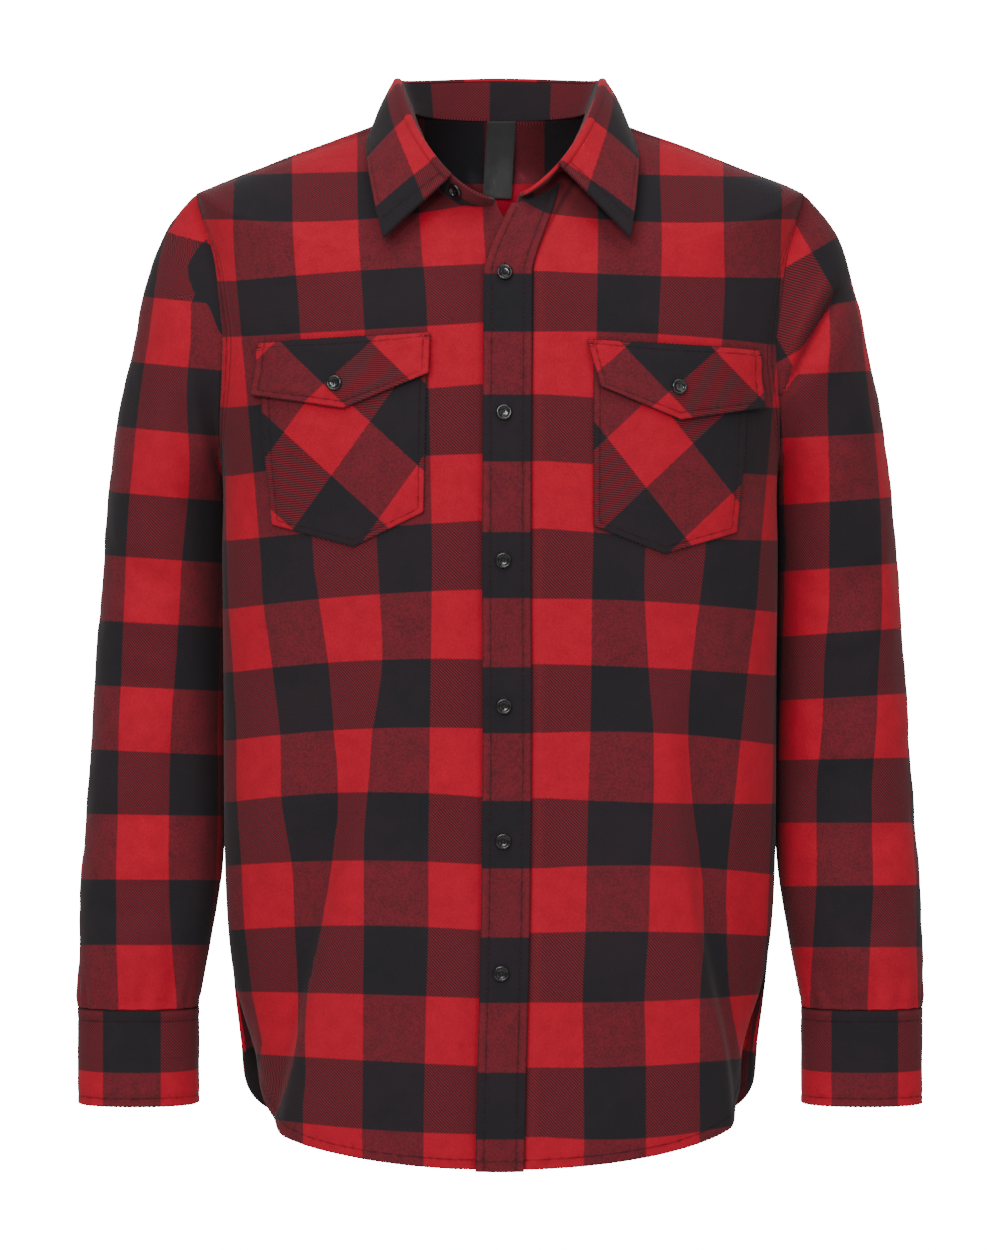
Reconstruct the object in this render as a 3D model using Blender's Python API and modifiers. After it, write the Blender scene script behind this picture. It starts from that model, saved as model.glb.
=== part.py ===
# A long-sleeved flannel shirt, buttoned and filled out as it is when worn, hollow inside.
#
# Frame: +Z up, the front faces -Y, +X is the wearer's left. The origin is the middle of the
# neck base, level with the point where the shoulder line meets the neck. Lengths are in metres.
#
# The body is a stack of closed rings, from the hem up to the neckline. A point on it has a
# side (+1 wearer's left, -1 wearer's right), a turn (0 at the front centre, pi at the back
# centre) and a level (0 at the hem, 1 at the neckline). Panels, placket, pockets and flaps are
# all cut from that one surface, so they meet along shared lines.

import math
from collections import namedtuple

import bmesh
import bpy
from mathutils import Vector

# Driving dimensions
PANEL_WALL = 0.0012
BAND_WALL = 0.0024          # collar stand and collar leaf, several layers each
PLACKET_WALL = 0.0018
CUFF_WALL = 0.0020
FLAP_WALL = 0.0018
LABEL_WALL = 0.0010
SEAM_GAP = 0.0003
YOKE_GAP = 0.0004           # taken off the yoke's edge, where the walls meet at an angle
ARMHOLE_GAP = 0.0008        # between body and sleeve, whose walls meet at an angle
TUCK_GAP = 0.0006           # between the cuff and the sleeve's end tucked into it
LAP_GAP = 0.0004            # between the two layers where the cuff laps
FOLD_GAP = 0.0017           # between the stand's top edge and the leaf's rolled one
PLACKET_LIFT = 0.0005       # placket over the front
PATCH_LIFT = 0.0008         # pockets and flaps over the facets they lie on
FLAP_LIFT = 0.0010          # flaps over the pockets
SLEEVE_PLACKET_LIFT = 0.0009
LABEL_LIFT = 0.0007         # label over the yoke at its sewn edge
LABEL_SWING = 0.0035        # and how much further off at its lower edge
UNDERLAP = 0.0019           # how far the right front lies behind the left one
UNDERLAP_START = 0.0170     # measured from the placket's free edge
UNDERLAP_WIDTH = 0.0140
PLACKET_WIDTH = 0.0350
PLACKET_TOP = 0.988         # level just below the collar stand
BUTTON_RADIUS = 0.0058
BUTTON_DEPTH = 0.0024
BUTTON_LIFT = 0.0005        # thread shank under a button

# The body's rings
Ring = namedtuple("Ring", "level half_width squareness y_side y_front y_back z_side z_front z_back dip")
BODY_RINGS = (
    Ring(0.00, 0.1935, 2.60, 0.000, -0.1110, 0.1000, -0.7040, -0.7825, -0.7900, 0.70),
    Ring(0.12, 0.2015, 2.70, 0.000, -0.1135, 0.1010, -0.6480, -0.6700, -0.6710, 0.85),
    Ring(0.24, 0.2065, 2.75, 0.000, -0.1150, 0.0995, -0.5680, -0.5720, -0.5720, 1.00),
    Ring(0.40, 0.2076, 2.70, 0.000, -0.1160, 0.0985, -0.4400, -0.4400, -0.4400, 1.20),
    Ring(0.54, 0.2086, 2.70, 0.000, -0.1200, 0.1060, -0.3350, -0.3350, -0.3350, 1.50),
    Ring(0.63, 0.2085, 2.65, 0.000, -0.1220, 0.1100, -0.2730, -0.2730, -0.2730, 2.00),
    Ring(0.71, 0.2175, 2.60, 0.000, -0.1210, 0.1120, -0.2080, -0.2260, -0.2150, 2.00),
    Ring(0.79, 0.2215, 2.55, 0.000, -0.1175, 0.1075, -0.1420, -0.1830, -0.1500, 2.00),
    Ring(0.8364, 0.2215, 2.50, 0.000, -0.1145, 0.1010, -0.1010, -0.1565, -0.1090, 2.00),
    Ring(0.89, 0.2280, 2.45, 0.000, -0.1095, 0.0920, -0.0610, -0.1270, -0.0720, 2.00),
)
SHOULDER_RINGS = (
    BODY_RINGS[-1],
    Ring(0.945, 0.1450, 2.25, 0.003, -0.1005, 0.0785, -0.0275, -0.0990, -0.0340, 1.80),
    Ring(1.00, 0.0660, 2.10, 0.008, -0.0880, 0.0600, 0.0030, -0.0735, 0.0030, 1.60),
)
UNDERARM = 0.63
SHOULDER = 0.89
NECK = 1.0
COLLAR_FOLD = Ring(0, 0.0745, 2.20, 0.012, -0.1110, 0.0655, 0.0215, -0.0760, 0.0300, 1.70)

# Armhole: half openings at the widest level, front and back
ARMHOLE_FRONT = 0.064
ARMHOLE_BACK = 0.070
ARMHOLE_SKEW = 0.9
ARMHOLE_ROUNDNESS = 0.62
ARMHOLE_STEPS = 10
CALM_POWER = 5              # how soon the columns beside the armhole give way to its edge

# Rows and columns of the panels
BODY_LEVELS = [0, 0.035, 0.08, 0.14, 0.21, 0.28, 0.34, 0.40, 0.46, 0.55]
NECK_STEPS = 4
FRONT_COLUMNS = (0, 1, 2, 2.12, 2.3, 2.48, 2.66, 2.82, 2.96, 3)
FRONT_INSET = 0.0030        # from the placket's free edge to the left front's edge under it
LEFT_STRIPS = (0.0, 0.0120, 0.0260)     # columns 0, 1 and 2 from that edge
RIGHT_STRIP = 0.0140        # from the placket's free edge to the right front's column 2
RIGHT_STRIP_LEAST = 0.0040
BACK_SHARES = (0, 0.17, 0.34, 0.51, 0.68, 0.84, 0.97, 1)    # from the back centre to the edge

# Yoke
YOKE_STEP = 3               # the armhole step where the back yoke seam starts
YOKE_FRONT_TURN = math.radians(79)
YOKE_CORNER = 0.64          # way at which the back seam meets the armhole
YOKE_EDGE_STEP = 2.94       # a narrow strip beside the front seam
NECK_CORNER_TURN = math.radians(112)

# Front opening: x of the placket's free edge, and how it opens to a V at the neck
Opening = namedtuple("Opening", "z free_edge")
PLACKET_LINE = (
    Opening(-0.795, -0.0180),
    Opening(-0.700, -0.0160),
    Opening(-0.600, -0.0136),
    Opening(-0.450, -0.0124),
    Opening(-0.340, -0.0128),
    Opening(-0.129, -0.0117),
)
V_BOTTOM = -0.129
V_HEIGHT = 0.057
V_LEFT = 0.0240             # how far the left front has moved out at the neck
V_POWER = 1.35
RIGHT_EDGE_CLOSED = 0.0165  # x of the right front's edge, hidden under the placket
RIGHT_EDGE_OPEN = -0.0045   # and at the neck
RIGHT_EDGE_BOTTOM = -0.116
RIGHT_EDGE_POWER = 1.1
NECK_FRONT_Z = -0.0735

FRONT_BUTTONS_Z = (-0.1300, -0.2320, -0.3390, -0.4450, -0.5430, -0.6390)
BUTTON_INSET = 0.0152       # from the placket's free edge to the buttons

# Sleeve: outer and inner edge of each ring, and its depth front to back
Cuffward = namedtuple("Cuffward", "x_out z_out x_in z_in y_mid half_depth squareness cap")
SLEEVE_RINGS = (
    Cuffward(0.2280, -0.0610, 0.2085, -0.2730, 0.003, 0.0670, 2.0, 1.00),
    Cuffward(0.2400, -0.0722, 0.2104, -0.2748, 0.005, 0.0690, 2.0, 0.70),
    Cuffward(0.2556, -0.0950, 0.2112, -0.2775, 0.008, 0.0700, 2.0, 0.42),
    Cuffward(0.2700, -0.1400, 0.2112, -0.2835, 0.013, 0.0710, 2.1, 0.18),
    Cuffward(0.2895, -0.2312, 0.2106, -0.2960, 0.020, 0.0700, 2.2, 0.04),
    Cuffward(0.2976, -0.2954, 0.2102, -0.3180, 0.023, 0.0670, 2.2, 0.00),
    Cuffward(0.3050, -0.3898, 0.2098, -0.4000, 0.023, 0.0610, 2.2, 0.00),
    Cuffward(0.3118, -0.4955, 0.2096, -0.4980, 0.018, 0.0560, 2.2, 0.00),
    Cuffward(0.3168, -0.5700, 0.2106, -0.5680, 0.010, 0.0520, 2.2, 0.00),
    Cuffward(0.3185, -0.6250, 0.2178, -0.6200, 0.003, 0.0490, 2.2, 0.00),
    Cuffward(0.3188, -0.6640, 0.2252, -0.6620, -0.002, 0.0440, 2.3, 0.00),
)
SLEEVE_PLACKET_WAY = 0.675
SLEEVE_PLACKET_HALF = 0.0125
SLEEVE_PLACKET_ROWS = (8.0, 9.85)
SLEEVE_PLACKET_STEPS = 6

# Cuff: an upright band, and the sleeve's end tucked into it
CUFF_X = 0.2725
CUFF_Y = -0.004
CUFF_HALF_WIDTH = 0.0458
CUFF_HALF_DEPTH = 0.0350
CUFF_TOP = -0.6765
CUFF_BOTTOM = -0.7465
CUFF_SQUARENESS = 2.3
CUFF_LAP = math.radians(26)     # how far the cuff's outer end laps over its inner end
CUFF_START = math.radians(122)  # from the outer side, turning over the back
CUFF_STEPS = 22
LAP_RISE_START = 0.65           # radians before a full turn where the outer layer starts to rise
LAP_RISE = 0.50                 # radians over which it does
TUCK = 0.0055                   # how far the sleeve reaches into the cuff
GATHER_RISE = 0.0030            # and how far above the cuff it has come to the cuff's size

# Collar leaf: x, y, z of its outer edge, from the back centre to the point
Leaf = namedtuple("Leaf", "way x y z spread")
LEAF_EDGE = (
    Leaf(0.00, 0.0000, 0.0785, -0.0120, 0.0),
    Leaf(0.20, 0.0500, 0.0720, -0.0100, 0.0),
    Leaf(0.40, 0.0880, 0.0450, -0.0050, 0.0),
    Leaf(0.60, 0.0990, 0.0040, -0.0025, 0.1),
    Leaf(0.75, 0.1018, -0.0330, -0.0205, 0.2),
    Leaf(0.87, 0.0995, -0.0680, -0.0440, 0.5),
    Leaf(0.95, 0.0945, -0.0980, -0.0790, 0.8),
    Leaf(1.00, 0.0893, -0.1180, -0.1050, 1.0),
)
LEAF_SPREAD = {-1: -0.0045, 1: 0.0050}
LEAF_START = {-1: math.radians(27), 1: math.radians(33)}
LEAF_ROLL = 0.0034
LEAF_ROLL_ANGLES = (0, 20, 80, 150)
LEAF_BULGE = 0.0035
LEAF_STEPS = 11
LEAF_FALL_ROWS = 4
STAND_END = math.radians(14)    # the rounded end of the collar stand
STAND_END_HEIGHT = 0.22         # its height at the very end, as a share
STAND_LIFT = 0.0007             # the stand's foot over the neckline
STAND_LIFT_FRONT = 0.0005       # and what is added at the front, where the neckline is steeper
STAND_LIFT_REACH = 0.8

# Pockets and flaps, seen from the front: x and z of each corner, inner side first
Corner = namedtuple("Corner", "x z")
POCKETS = {
    -1: {"top_in": Corner(-0.0530, -0.1860), "top_out": Corner(-0.1765, -0.1935),
         "base_in": Corner(-0.0555, -0.3040), "base_out": Corner(-0.1665, -0.3125),
         "tip": Corner(-0.1065, -0.3290)},
    1: {"top_in": Corner(0.0680, -0.1900), "top_out": Corner(0.1840, -0.1975),
        "base_in": Corner(0.0677, -0.3140), "base_out": Corner(0.1740, -0.3180),
        "tip": Corner(0.1195, -0.3340)},
}
FLAPS = {
    -1: {"top_in": Corner(-0.0508, -0.1745), "top_out": Corner(-0.1760, -0.1800),
         "base_in": Corner(-0.0515, -0.2035), "base_out": Corner(-0.1795, -0.2170),
         "tip": Corner(-0.1130, -0.2285)},
    1: {"top_in": Corner(0.0632, -0.1795), "top_out": Corner(0.1905, -0.1845),
        "base_in": Corner(0.0725, -0.2130), "base_out": Corner(0.1915, -0.2255),
        "tip": Corner(0.1300, -0.2365)},
}
FLAP_ROWS = (0, 0.15, 0.55, 1)      # from the sewn edge down, above the pocket's edge up to the second
POCKET_BUTTONS = {-1: Corner(-0.1189, -0.2105), 1: Corner(0.1285, -0.2130)}

STAND_BUTTON_TURN = math.radians(24)
STAND_BUTTON_HEIGHT = 0.55
# Radius and height of a button's outline, as shares
BUTTON_OUTLINE = ((0.0, 0.55), (0.55, 0.60), (0.74, 1.0), (0.92, 0.95), (1.0, 0.55), (0.86, 0.0), (0.0, 0.0))
BUTTON_SIDES = 14
LABEL_X = (-0.0100, 0.0125)
LABEL_Z = (-0.0010, -0.0575)

COLOURS = {
    "flannel": (0.36, 0.02, 0.03),
    "flannel_dark": (0.09, 0.02, 0.025),
    "label": (0.012, 0.012, 0.013),
    "button": (0.010, 0.010, 0.011),
}


# --- numbers -------------------------------------------------------------------------------

def smooth(value):
    """0 below 0, 1 above 1, with a soft start and end between."""
    t = min(max(value, 0.0), 1.0)
    return t * t * (3 - 2 * t)


def through(rows, at):
    """A row of a table at a place between its rows, on a smooth curve through all of them."""
    places = [row[0] for row in rows]
    at = min(max(at, places[0]), places[-1])
    i = max(k for k in range(len(rows) - 1) if places[k] <= at or k == 0)
    span = places[i + 1] - places[i]
    t = (at - places[i]) / span
    values = []
    for column in range(len(rows[0])):
        low, high = rows[i][column], rows[i + 1][column]
        rise = (high - low) / span
        before = rise if i == 0 else (high - rows[i - 1][column]) / (places[i + 1] - places[i - 1])
        after = rise if i + 2 == len(rows) else (rows[i + 2][column] - low) / (places[i + 2] - places[i])
        values.append(
            low * (1 + 2 * t) * (1 - t) ** 2
            + high * t * t * (3 - 2 * t)
            + before * span * t * (1 - t) ** 2
            - after * span * t * t * (1 - t)
        )
    return type(rows[0])(*values)


def reach(turn, squareness):
    """How far a rounded-square ring of half sizes 1 reaches at this turn."""
    return (abs(math.sin(turn)) ** squareness + abs(math.cos(turn)) ** squareness) ** (-1 / squareness)


def turn_at_x(ring, x):
    """The turn at which a ring's front lies at x, measured towards the side x is on."""
    share = min(abs(x) / ring.half_width, 0.9999)
    return math.copysign(math.atan2(share, (1 - share ** ring.squareness) ** (1 / ring.squareness)), x)


def turn_at_opening(ring, opening, depth):
    """The turn at which a ring has this half opening, where its full depth is given."""
    share = min(opening / depth, 0.9999)
    return math.atan2((1 - share ** ring.squareness) ** (1 / ring.squareness), share)


# --- the body's surface --------------------------------------------------------------------

def ring_point(ring, side, turn):
    far = reach(turn, ring.squareness)
    across, along = math.sin(turn) * far, math.cos(turn) * far
    y_end, z_end = (ring.y_front, ring.z_front) if along > 0 else (ring.y_back, ring.z_back)
    return Vector((
        side * ring.half_width * across,
        ring.y_side + (y_end - ring.y_side) * abs(along),
        ring.z_side + (z_end - ring.z_side) * abs(math.cos(turn)) ** ring.dip,
    ))


def ring_at(level):
    return through(BODY_RINGS if level <= SHOULDER else SHOULDER_RINGS, level)


def torso(side, turn, level):
    return ring_point(ring_at(level), side, turn)


def torso_normal(side, turn, level):
    step = 0.003
    low, high = max(level - step, 0), min(level + step, NECK)
    around = torso(side, turn + step, level) - torso(side, turn - step, level)
    upward = torso(side, turn, high) - torso(side, turn, low)
    return side * around.cross(upward).normalized()


def body_at(x, z, lift=0.0):
    """The front surface at x and z as seen from the front, moved out by lift."""
    side = 1 if x >= 0 else -1
    low, high = 0.0, NECK
    for _ in range(30):
        level = (low + high) / 2
        ring = ring_at(level)
        point = ring_point(ring, side, turn_at_x(ring, abs(x)))
        low, high = (level, high) if point.z < z else (low, level)
    turn = turn_at_x(ring_at(level), abs(x))
    return torso(side, turn, level) + lift * torso_normal(side, turn, level)


# --- lines shared by neighbouring pieces -----------------------------------------------------

def free_edge_x(z):
    """x of the placket's free edge."""
    return through(PLACKET_LINE, z).free_edge + V_LEFT * (max(z - V_BOTTOM, 0) / V_HEIGHT) ** V_POWER


def right_edge_x(z):
    """x of the right front's own edge, under the placket and in the V."""
    opened = min(max((z - RIGHT_EDGE_BOTTOM) / (NECK_FRONT_Z - RIGHT_EDGE_BOTTOM), 0), 1)
    return RIGHT_EDGE_CLOSED + (RIGHT_EDGE_OPEN - RIGHT_EDGE_CLOSED) * opened ** RIGHT_EDGE_POWER


def armhole_level(step):
    """Steps run from the shoulder point, 0, to the underarm."""
    return UNDERARM + (SHOULDER - UNDERARM) * (1 + math.cos(math.pi * step / ARMHOLE_STEPS)) / 2


def armhole_turn(level, behind):
    """The turn of the armhole's edge at a level."""
    height = (level - UNDERARM) / (SHOULDER - UNDERARM)
    if height <= 0 or height >= 1:
        return math.pi / 2
    shape = math.sin(math.pi * height ** ARMHOLE_SKEW) ** ARMHOLE_ROUNDNESS
    ring = ring_at(level)
    if behind:
        return math.pi - turn_at_opening(ring, ARMHOLE_BACK * shape, ring.y_back)
    return turn_at_opening(ring, ARMHOLE_FRONT * shape, -ring.y_front)


def side_turn(level, behind):
    """The turn of a front's or the back's outer edge: side seam, then armhole, then yoke seam."""
    if level >= SHOULDER:
        return math.pi / 2 + (YOKE_FRONT_TURN - math.pi / 2) * (level - SHOULDER) / (NECK - SHOULDER)
    return armhole_turn(level, behind)


Calm = namedtuple("Calm", "level turn")
CALM_TURNS = (              # what the outer edge would be without the armhole's tight ends
    Calm(0.00, math.radians(90)),
    Calm(0.50, math.radians(89)),
    Calm(0.63, math.radians(81)),
    Calm(0.74, math.radians(70)),
    Calm(0.84, math.radians(71)),
    Calm(0.92, math.radians(77)),
    Calm(1.00, math.radians(79)),
)


def spread_turn(start, share, level, behind):
    """A turn between a column's start and the outer edge, evenly spaced except close to that edge."""
    calm = through(CALM_TURNS, level).turn
    if behind:
        calm = math.pi - calm
    return start + (calm - start) * share + (side_turn(level, behind) - calm) * share ** CALM_POWER


ARMHOLE_LEVELS = [armhole_level(ARMHOLE_STEPS - k) for k in range(ARMHOLE_STEPS + 1)]
NECK_LEVELS = [SHOULDER + (NECK - SHOULDER) * k / NECK_STEPS for k in range(1, NECK_STEPS + 1)]
FRONT_LEVELS = BODY_LEVELS + ARMHOLE_LEVELS + NECK_LEVELS


def front_turn(side, column, level):
    """Columns 0 to 2 lie under and beside the placket, 3 is the outer edge."""
    ring = ring_at(level)
    z = ring.z_front
    if side > 0:
        xs = [free_edge_x(z) + FRONT_INSET + strip for strip in LEFT_STRIPS]
    else:
        edge = -right_edge_x(z)
        near = max(edge + RIGHT_STRIP_LEAST, -free_edge_x(z) + FRONT_INSET)
        xs = (edge, near, near + RIGHT_STRIP)
    turns = [turn_at_x(ring, x) for x in xs]
    if column >= 2:
        return spread_turn(turns[2], column - 2, level, False)
    i = int(column)
    return turns[i] + (turns[i + 1] - turns[i]) * (column - i)


def front_point(side, column, level):
    turn = front_turn(side, column, level)
    point = torso(side, turn, level)
    if side < 0:
        under = smooth((point.x - free_edge_x(point.z) + UNDERLAP_START) / UNDERLAP_WIDTH)
        point -= UNDERLAP * under * torso_normal(side, turn, level)
    return point


# --- building ------------------------------------------------------------------------------

def material(name, roughness=0.9, metallic=0.0):
    made = bpy.data.materials.new(name)
    made.use_nodes = True
    shader = made.node_tree.nodes["Principled BSDF"]
    shader.inputs["Base Color"].default_value = (*COLOURS[name], 1)
    shader.inputs["Roughness"].default_value = roughness
    shader.inputs["Metallic"].default_value = metallic
    return made


def solidify(thing, wall, offset):
    shell = thing.modifiers.new("Wall", "SOLIDIFY")
    shell.thickness = wall
    shell.offset = offset
    shell.use_even_offset = True
    shell.use_quality_normals = True


def pull_in(bm, gap):
    """Moves the open edges of a sheet inwards by gap, so that neighbours stay apart."""
    moves = {}
    for vert in bm.verts:
        rim = [edge.other_vert(vert) for edge in vert.link_edges if edge.is_boundary]
        if not rim:
            continue
        middle = sum((face.calc_center_median() for face in vert.link_faces), Vector()) / len(vert.link_faces)
        inward = middle - vert.co
        if len(vert.link_faces) > 1:
            along = (rim[0].co - rim[1].co).normalized()
            inward -= along * inward.dot(along)
            moves[vert] = inward.normalized() * gap
        else:
            moves[vert] = inward.normalized() * gap * math.sqrt(2)
    for vert, move in moves.items():
        vert.co += move


def sheet(name, columns, rows, form, wall, finish, axis=(0, 0), offset=-1, gap=SEAM_GAP / 2, closed=False):
    """A wall of cloth over a grid: form(column, row) gives each point, and the grid's
    outer side faces away from the upright line through axis."""
    bm = bmesh.new()
    bmesh.ops.create_grid(bm, x_segments=len(columns) - 1, y_segments=len(rows) - 1, size=1)
    for vert in bm.verts:
        i = round((vert.co.x + 1) / 2 * (len(columns) - 1))
        j = round((vert.co.y + 1) / 2 * (len(rows) - 1))
        vert.co = form(columns[i], rows[j])
    if closed:
        bmesh.ops.remove_doubles(bm, verts=bm.verts, dist=0.00001)
    bm.normal_update()
    outward = 0.0
    for face in bm.faces:
        centre = face.calc_center_median()
        away = Vector((centre.x - axis[0], centre.y - axis[1], 0)).normalized()
        outward += face.normal.dot(away) * face.calc_area()
    if outward < 0:
        bmesh.ops.reverse_faces(bm, faces=bm.faces)
    if gap:
        pull_in(bm, gap)
    mesh = bpy.data.meshes.new(name)
    bm.to_mesh(mesh)
    bm.free()
    thing = bpy.data.objects.new(name, mesh)
    thing.data.materials.append(finish)
    shirt.objects.link(thing)
    solidify(thing, wall, offset)
    return thing


# --- body panels ---------------------------------------------------------------------------

BACK_SEAM_LEVEL = armhole_level(YOKE_STEP)
BACK_LEVELS = [level for level in BODY_LEVELS + ARMHOLE_LEVELS if level <= BACK_SEAM_LEVEL + 0.0001]


def back_point(column, level):
    """Column -1 is the wearer's right edge, 0 the back centre and 1 the left edge."""
    side = 1 if column >= 0 else -1
    return torso(side, spread_turn(math.pi, abs(column), level, True), level)


def yoke_outline(way):
    """(turn, level) of the yoke's outer edge, way from 0 at the back centre to 1 at the shoulder point."""
    if way <= YOKE_CORNER:
        return spread_turn(math.pi, way / YOKE_CORNER, BACK_SEAM_LEVEL, True), BACK_SEAM_LEVEL
    step = YOKE_STEP * (1 - way) / (1 - YOKE_CORNER)
    level = armhole_level(step)
    return armhole_turn(level, True), level


def yoke_neck_turn(way):
    if way <= YOKE_CORNER:
        return math.pi + (NECK_CORNER_TURN - math.pi) * way / YOKE_CORNER
    return NECK_CORNER_TURN + (YOKE_FRONT_TURN - NECK_CORNER_TURN) * (way - YOKE_CORNER) / (1 - YOKE_CORNER)


def yoke_point(column, row):
    side = 1 if column >= 0 else -1
    turn, level = yoke_outline(abs(column))
    neck = yoke_neck_turn(abs(column))
    return torso(side, turn + (neck - turn) * row, level + (NECK - level) * row)


YOKE_WAYS = [YOKE_CORNER * share for share in BACK_SHARES]
YOKE_WAYS += [YOKE_CORNER + (1 - YOKE_CORNER) * k / YOKE_STEP for k in (1, 2, YOKE_EDGE_STEP, 3)]


def mirrored(values):
    return [-value for value in reversed(values) if value > 0] + list(values)


def make_body(cloth):
    for name, side in (("front_right", -1), ("front_left", 1)):
        sheet(name, FRONT_COLUMNS, FRONT_LEVELS,
              lambda column, level, side=side: front_point(side, column, level), PANEL_WALL, cloth)
    sheet("back", mirrored(BACK_SHARES), BACK_LEVELS, back_point, PANEL_WALL, cloth)
    sheet("yoke", mirrored(YOKE_WAYS), [k / NECK_STEPS for k in range(NECK_STEPS + 1)], yoke_point,
          PANEL_WALL, cloth, gap=YOKE_GAP)


# --- sleeves and cuffs -----------------------------------------------------------------------

def armhole_point(side, way):
    """way runs from 0 at the shoulder point down the front to 0.5 at the underarm and up the back to 1."""
    behind = way > 0.5
    level = armhole_level(ARMHOLE_STEPS * 2 * min(way, 1 - way))
    return torso(side, armhole_turn(level, behind), level)


def sleeve_oval(side, way, ring):
    angle = 2 * math.pi * way
    far = reach(angle, ring.squareness)
    out = Vector((side * ring.x_out, 0, ring.z_out))
    inner = Vector((side * ring.x_in, 0, ring.z_in))
    point = (out + inner) / 2 + (out - inner) / 2 * math.cos(angle) * far
    return point + Vector((0, ring.y_mid - ring.half_depth * math.sin(angle) * far, 0))


def sleeve_point(side, way, row):
    """row counts the sleeve's rings, and runs on past the last one into the cuff."""
    last = len(SLEEVE_RINGS) - 1
    if row > last:
        z = CUFF_TOP + GATHER_RISE if row == last + 1 else CUFF_TOP - TUCK
        return cuff_oval(side, 2 * math.pi * way, z, -CUFF_WALL - TUCK_GAP)
    numbered = [(k, *ring) for k, ring in enumerate(SLEEVE_RINGS)]
    ring = Cuffward(*between(numbered, row)[1:])
    point = sleeve_oval(side, way, ring)
    if ring.cap > 0:
        first = SLEEVE_RINGS[0]
        clear = Vector((side * ARMHOLE_GAP, 0, 0))
        point += (armhole_point(side, way) - sleeve_oval(side, way, first) + clear) * ring.cap
    return point


Wide = namedtuple("Wide", "place a b c d e f g h")


def between(rows, at):
    return through([Wide(*row) for row in rows], at)


def cuff_oval(side, angle, z, grow=0.0):
    """angle 0 is the outer side, and grows over the front."""
    far = reach(angle, CUFF_SQUARENESS)
    return Vector((
        side * (CUFF_X + (CUFF_HALF_WIDTH + grow) * math.cos(angle) * far),
        CUFF_Y - (CUFF_HALF_DEPTH + grow) * math.sin(angle) * far,
        z,
    ))


def cuff_point(side, step, row):
    """The band starts at its inner end, behind, and laps over itself at the other."""
    full = 2 * math.pi + CUFF_LAP
    gone = full * step / CUFF_STEPS
    lapped = smooth((gone - 2 * math.pi + LAP_RISE_START) / LAP_RISE)
    z = CUFF_BOTTOM + (CUFF_TOP - CUFF_BOTTOM) * row
    return cuff_oval(side, -CUFF_START + gone, z, (CUFF_WALL + LAP_GAP) * lapped)


def make_sleeves(cloth):
    around = [k / (2 * ARMHOLE_STEPS) for k in range(2 * ARMHOLE_STEPS + 1)]
    rows = range(len(SLEEVE_RINGS) + 2)
    for name, side in (("right", -1), ("left", 1)):
        axis = (side * 0.262, 0.012)
        sheet(f"sleeve_{name}", around, rows,
              lambda way, row, side=side: sleeve_point(side, way % 1, row),
              PANEL_WALL, cloth, axis=axis, gap=0, closed=True)
        sheet(f"cuff_{name}", list(range(CUFF_STEPS + 1)), (0, 0.5, 1),
              lambda step, row, side=side: cuff_point(side, step, row),
              CUFF_WALL, cloth, axis=(side * CUFF_X, CUFF_Y), gap=0)
        sheet(f"sleeve_placket_{name}", (-1, 0, 1), range(SLEEVE_PLACKET_STEPS + 1),
              lambda across, step, side=side: sleeve_placket_point(side, across, step),
              PANEL_WALL, cloth, axis=axis, offset=1, gap=0)


def sleeve_placket_point(side, across, step):
    """A strip that lies on the back of the sleeve above the cuff."""
    first, last = SLEEVE_PLACKET_ROWS
    row = first + (last - first) * step / SLEEVE_PLACKET_STEPS
    near = 0.02
    centre = sleeve_point(side, SLEEVE_PLACKET_WAY, row)
    ahead = sleeve_point(side, SLEEVE_PLACKET_WAY + near, row)
    way = SLEEVE_PLACKET_WAY + near * across * SLEEVE_PLACKET_HALF / (ahead - centre).length
    point = sleeve_point(side, way, row)
    around = sleeve_point(side, way + near, row) - sleeve_point(side, way - near, row)
    down = sleeve_point(side, way, row + near) - sleeve_point(side, way, row - near)
    return point + side * around.cross(down).normalized() * SLEEVE_PLACKET_LIFT


# --- collar --------------------------------------------------------------------------------

def collar_axes(side, turn):
    """The stand's foot, its upward direction and its outward direction at a turn."""
    foot = torso(side, turn, NECK)
    head = ring_point(COLLAR_FOLD, side, turn)
    step = 0.01
    along = ring_point(COLLAR_FOLD, side, turn + step) - ring_point(COLLAR_FOLD, side, turn - step)
    upward = (head - foot).normalized()
    outward = side * along.cross(upward).normalized()
    return foot, head, upward, outward


def stand_point(place, row):
    """place is an angle from the front centre over the wearer's right and the back to the left."""
    side, turn = (-1, place) if place <= math.pi else (1, 2 * math.pi - place)
    foot, head, upward, _ = collar_axes(side, turn)
    near = min(abs(place - STAND_ENDS[0]), abs(place - STAND_ENDS[1])) / STAND_END
    tall = STAND_END_HEIGHT + (1 - STAND_END_HEIGHT) * math.sqrt(1 - (1 - min(near, 1)) ** 2)
    lift = STAND_LIFT + STAND_LIFT_FRONT * smooth((math.pi / 2 - turn) / STAND_LIFT_REACH)
    return foot + upward * (lift + ((head - foot).length - lift) * tall * row)


def neck_turns(side):
    """Turns of the neckline's corners on one side, from the front edge to the back centre."""
    fronts = [front_turn(side, column, NECK) for column in FRONT_COLUMNS]
    backs = [yoke_neck_turn(way) for way in reversed(YOKE_WAYS)]
    return fronts + backs[1:]


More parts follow.
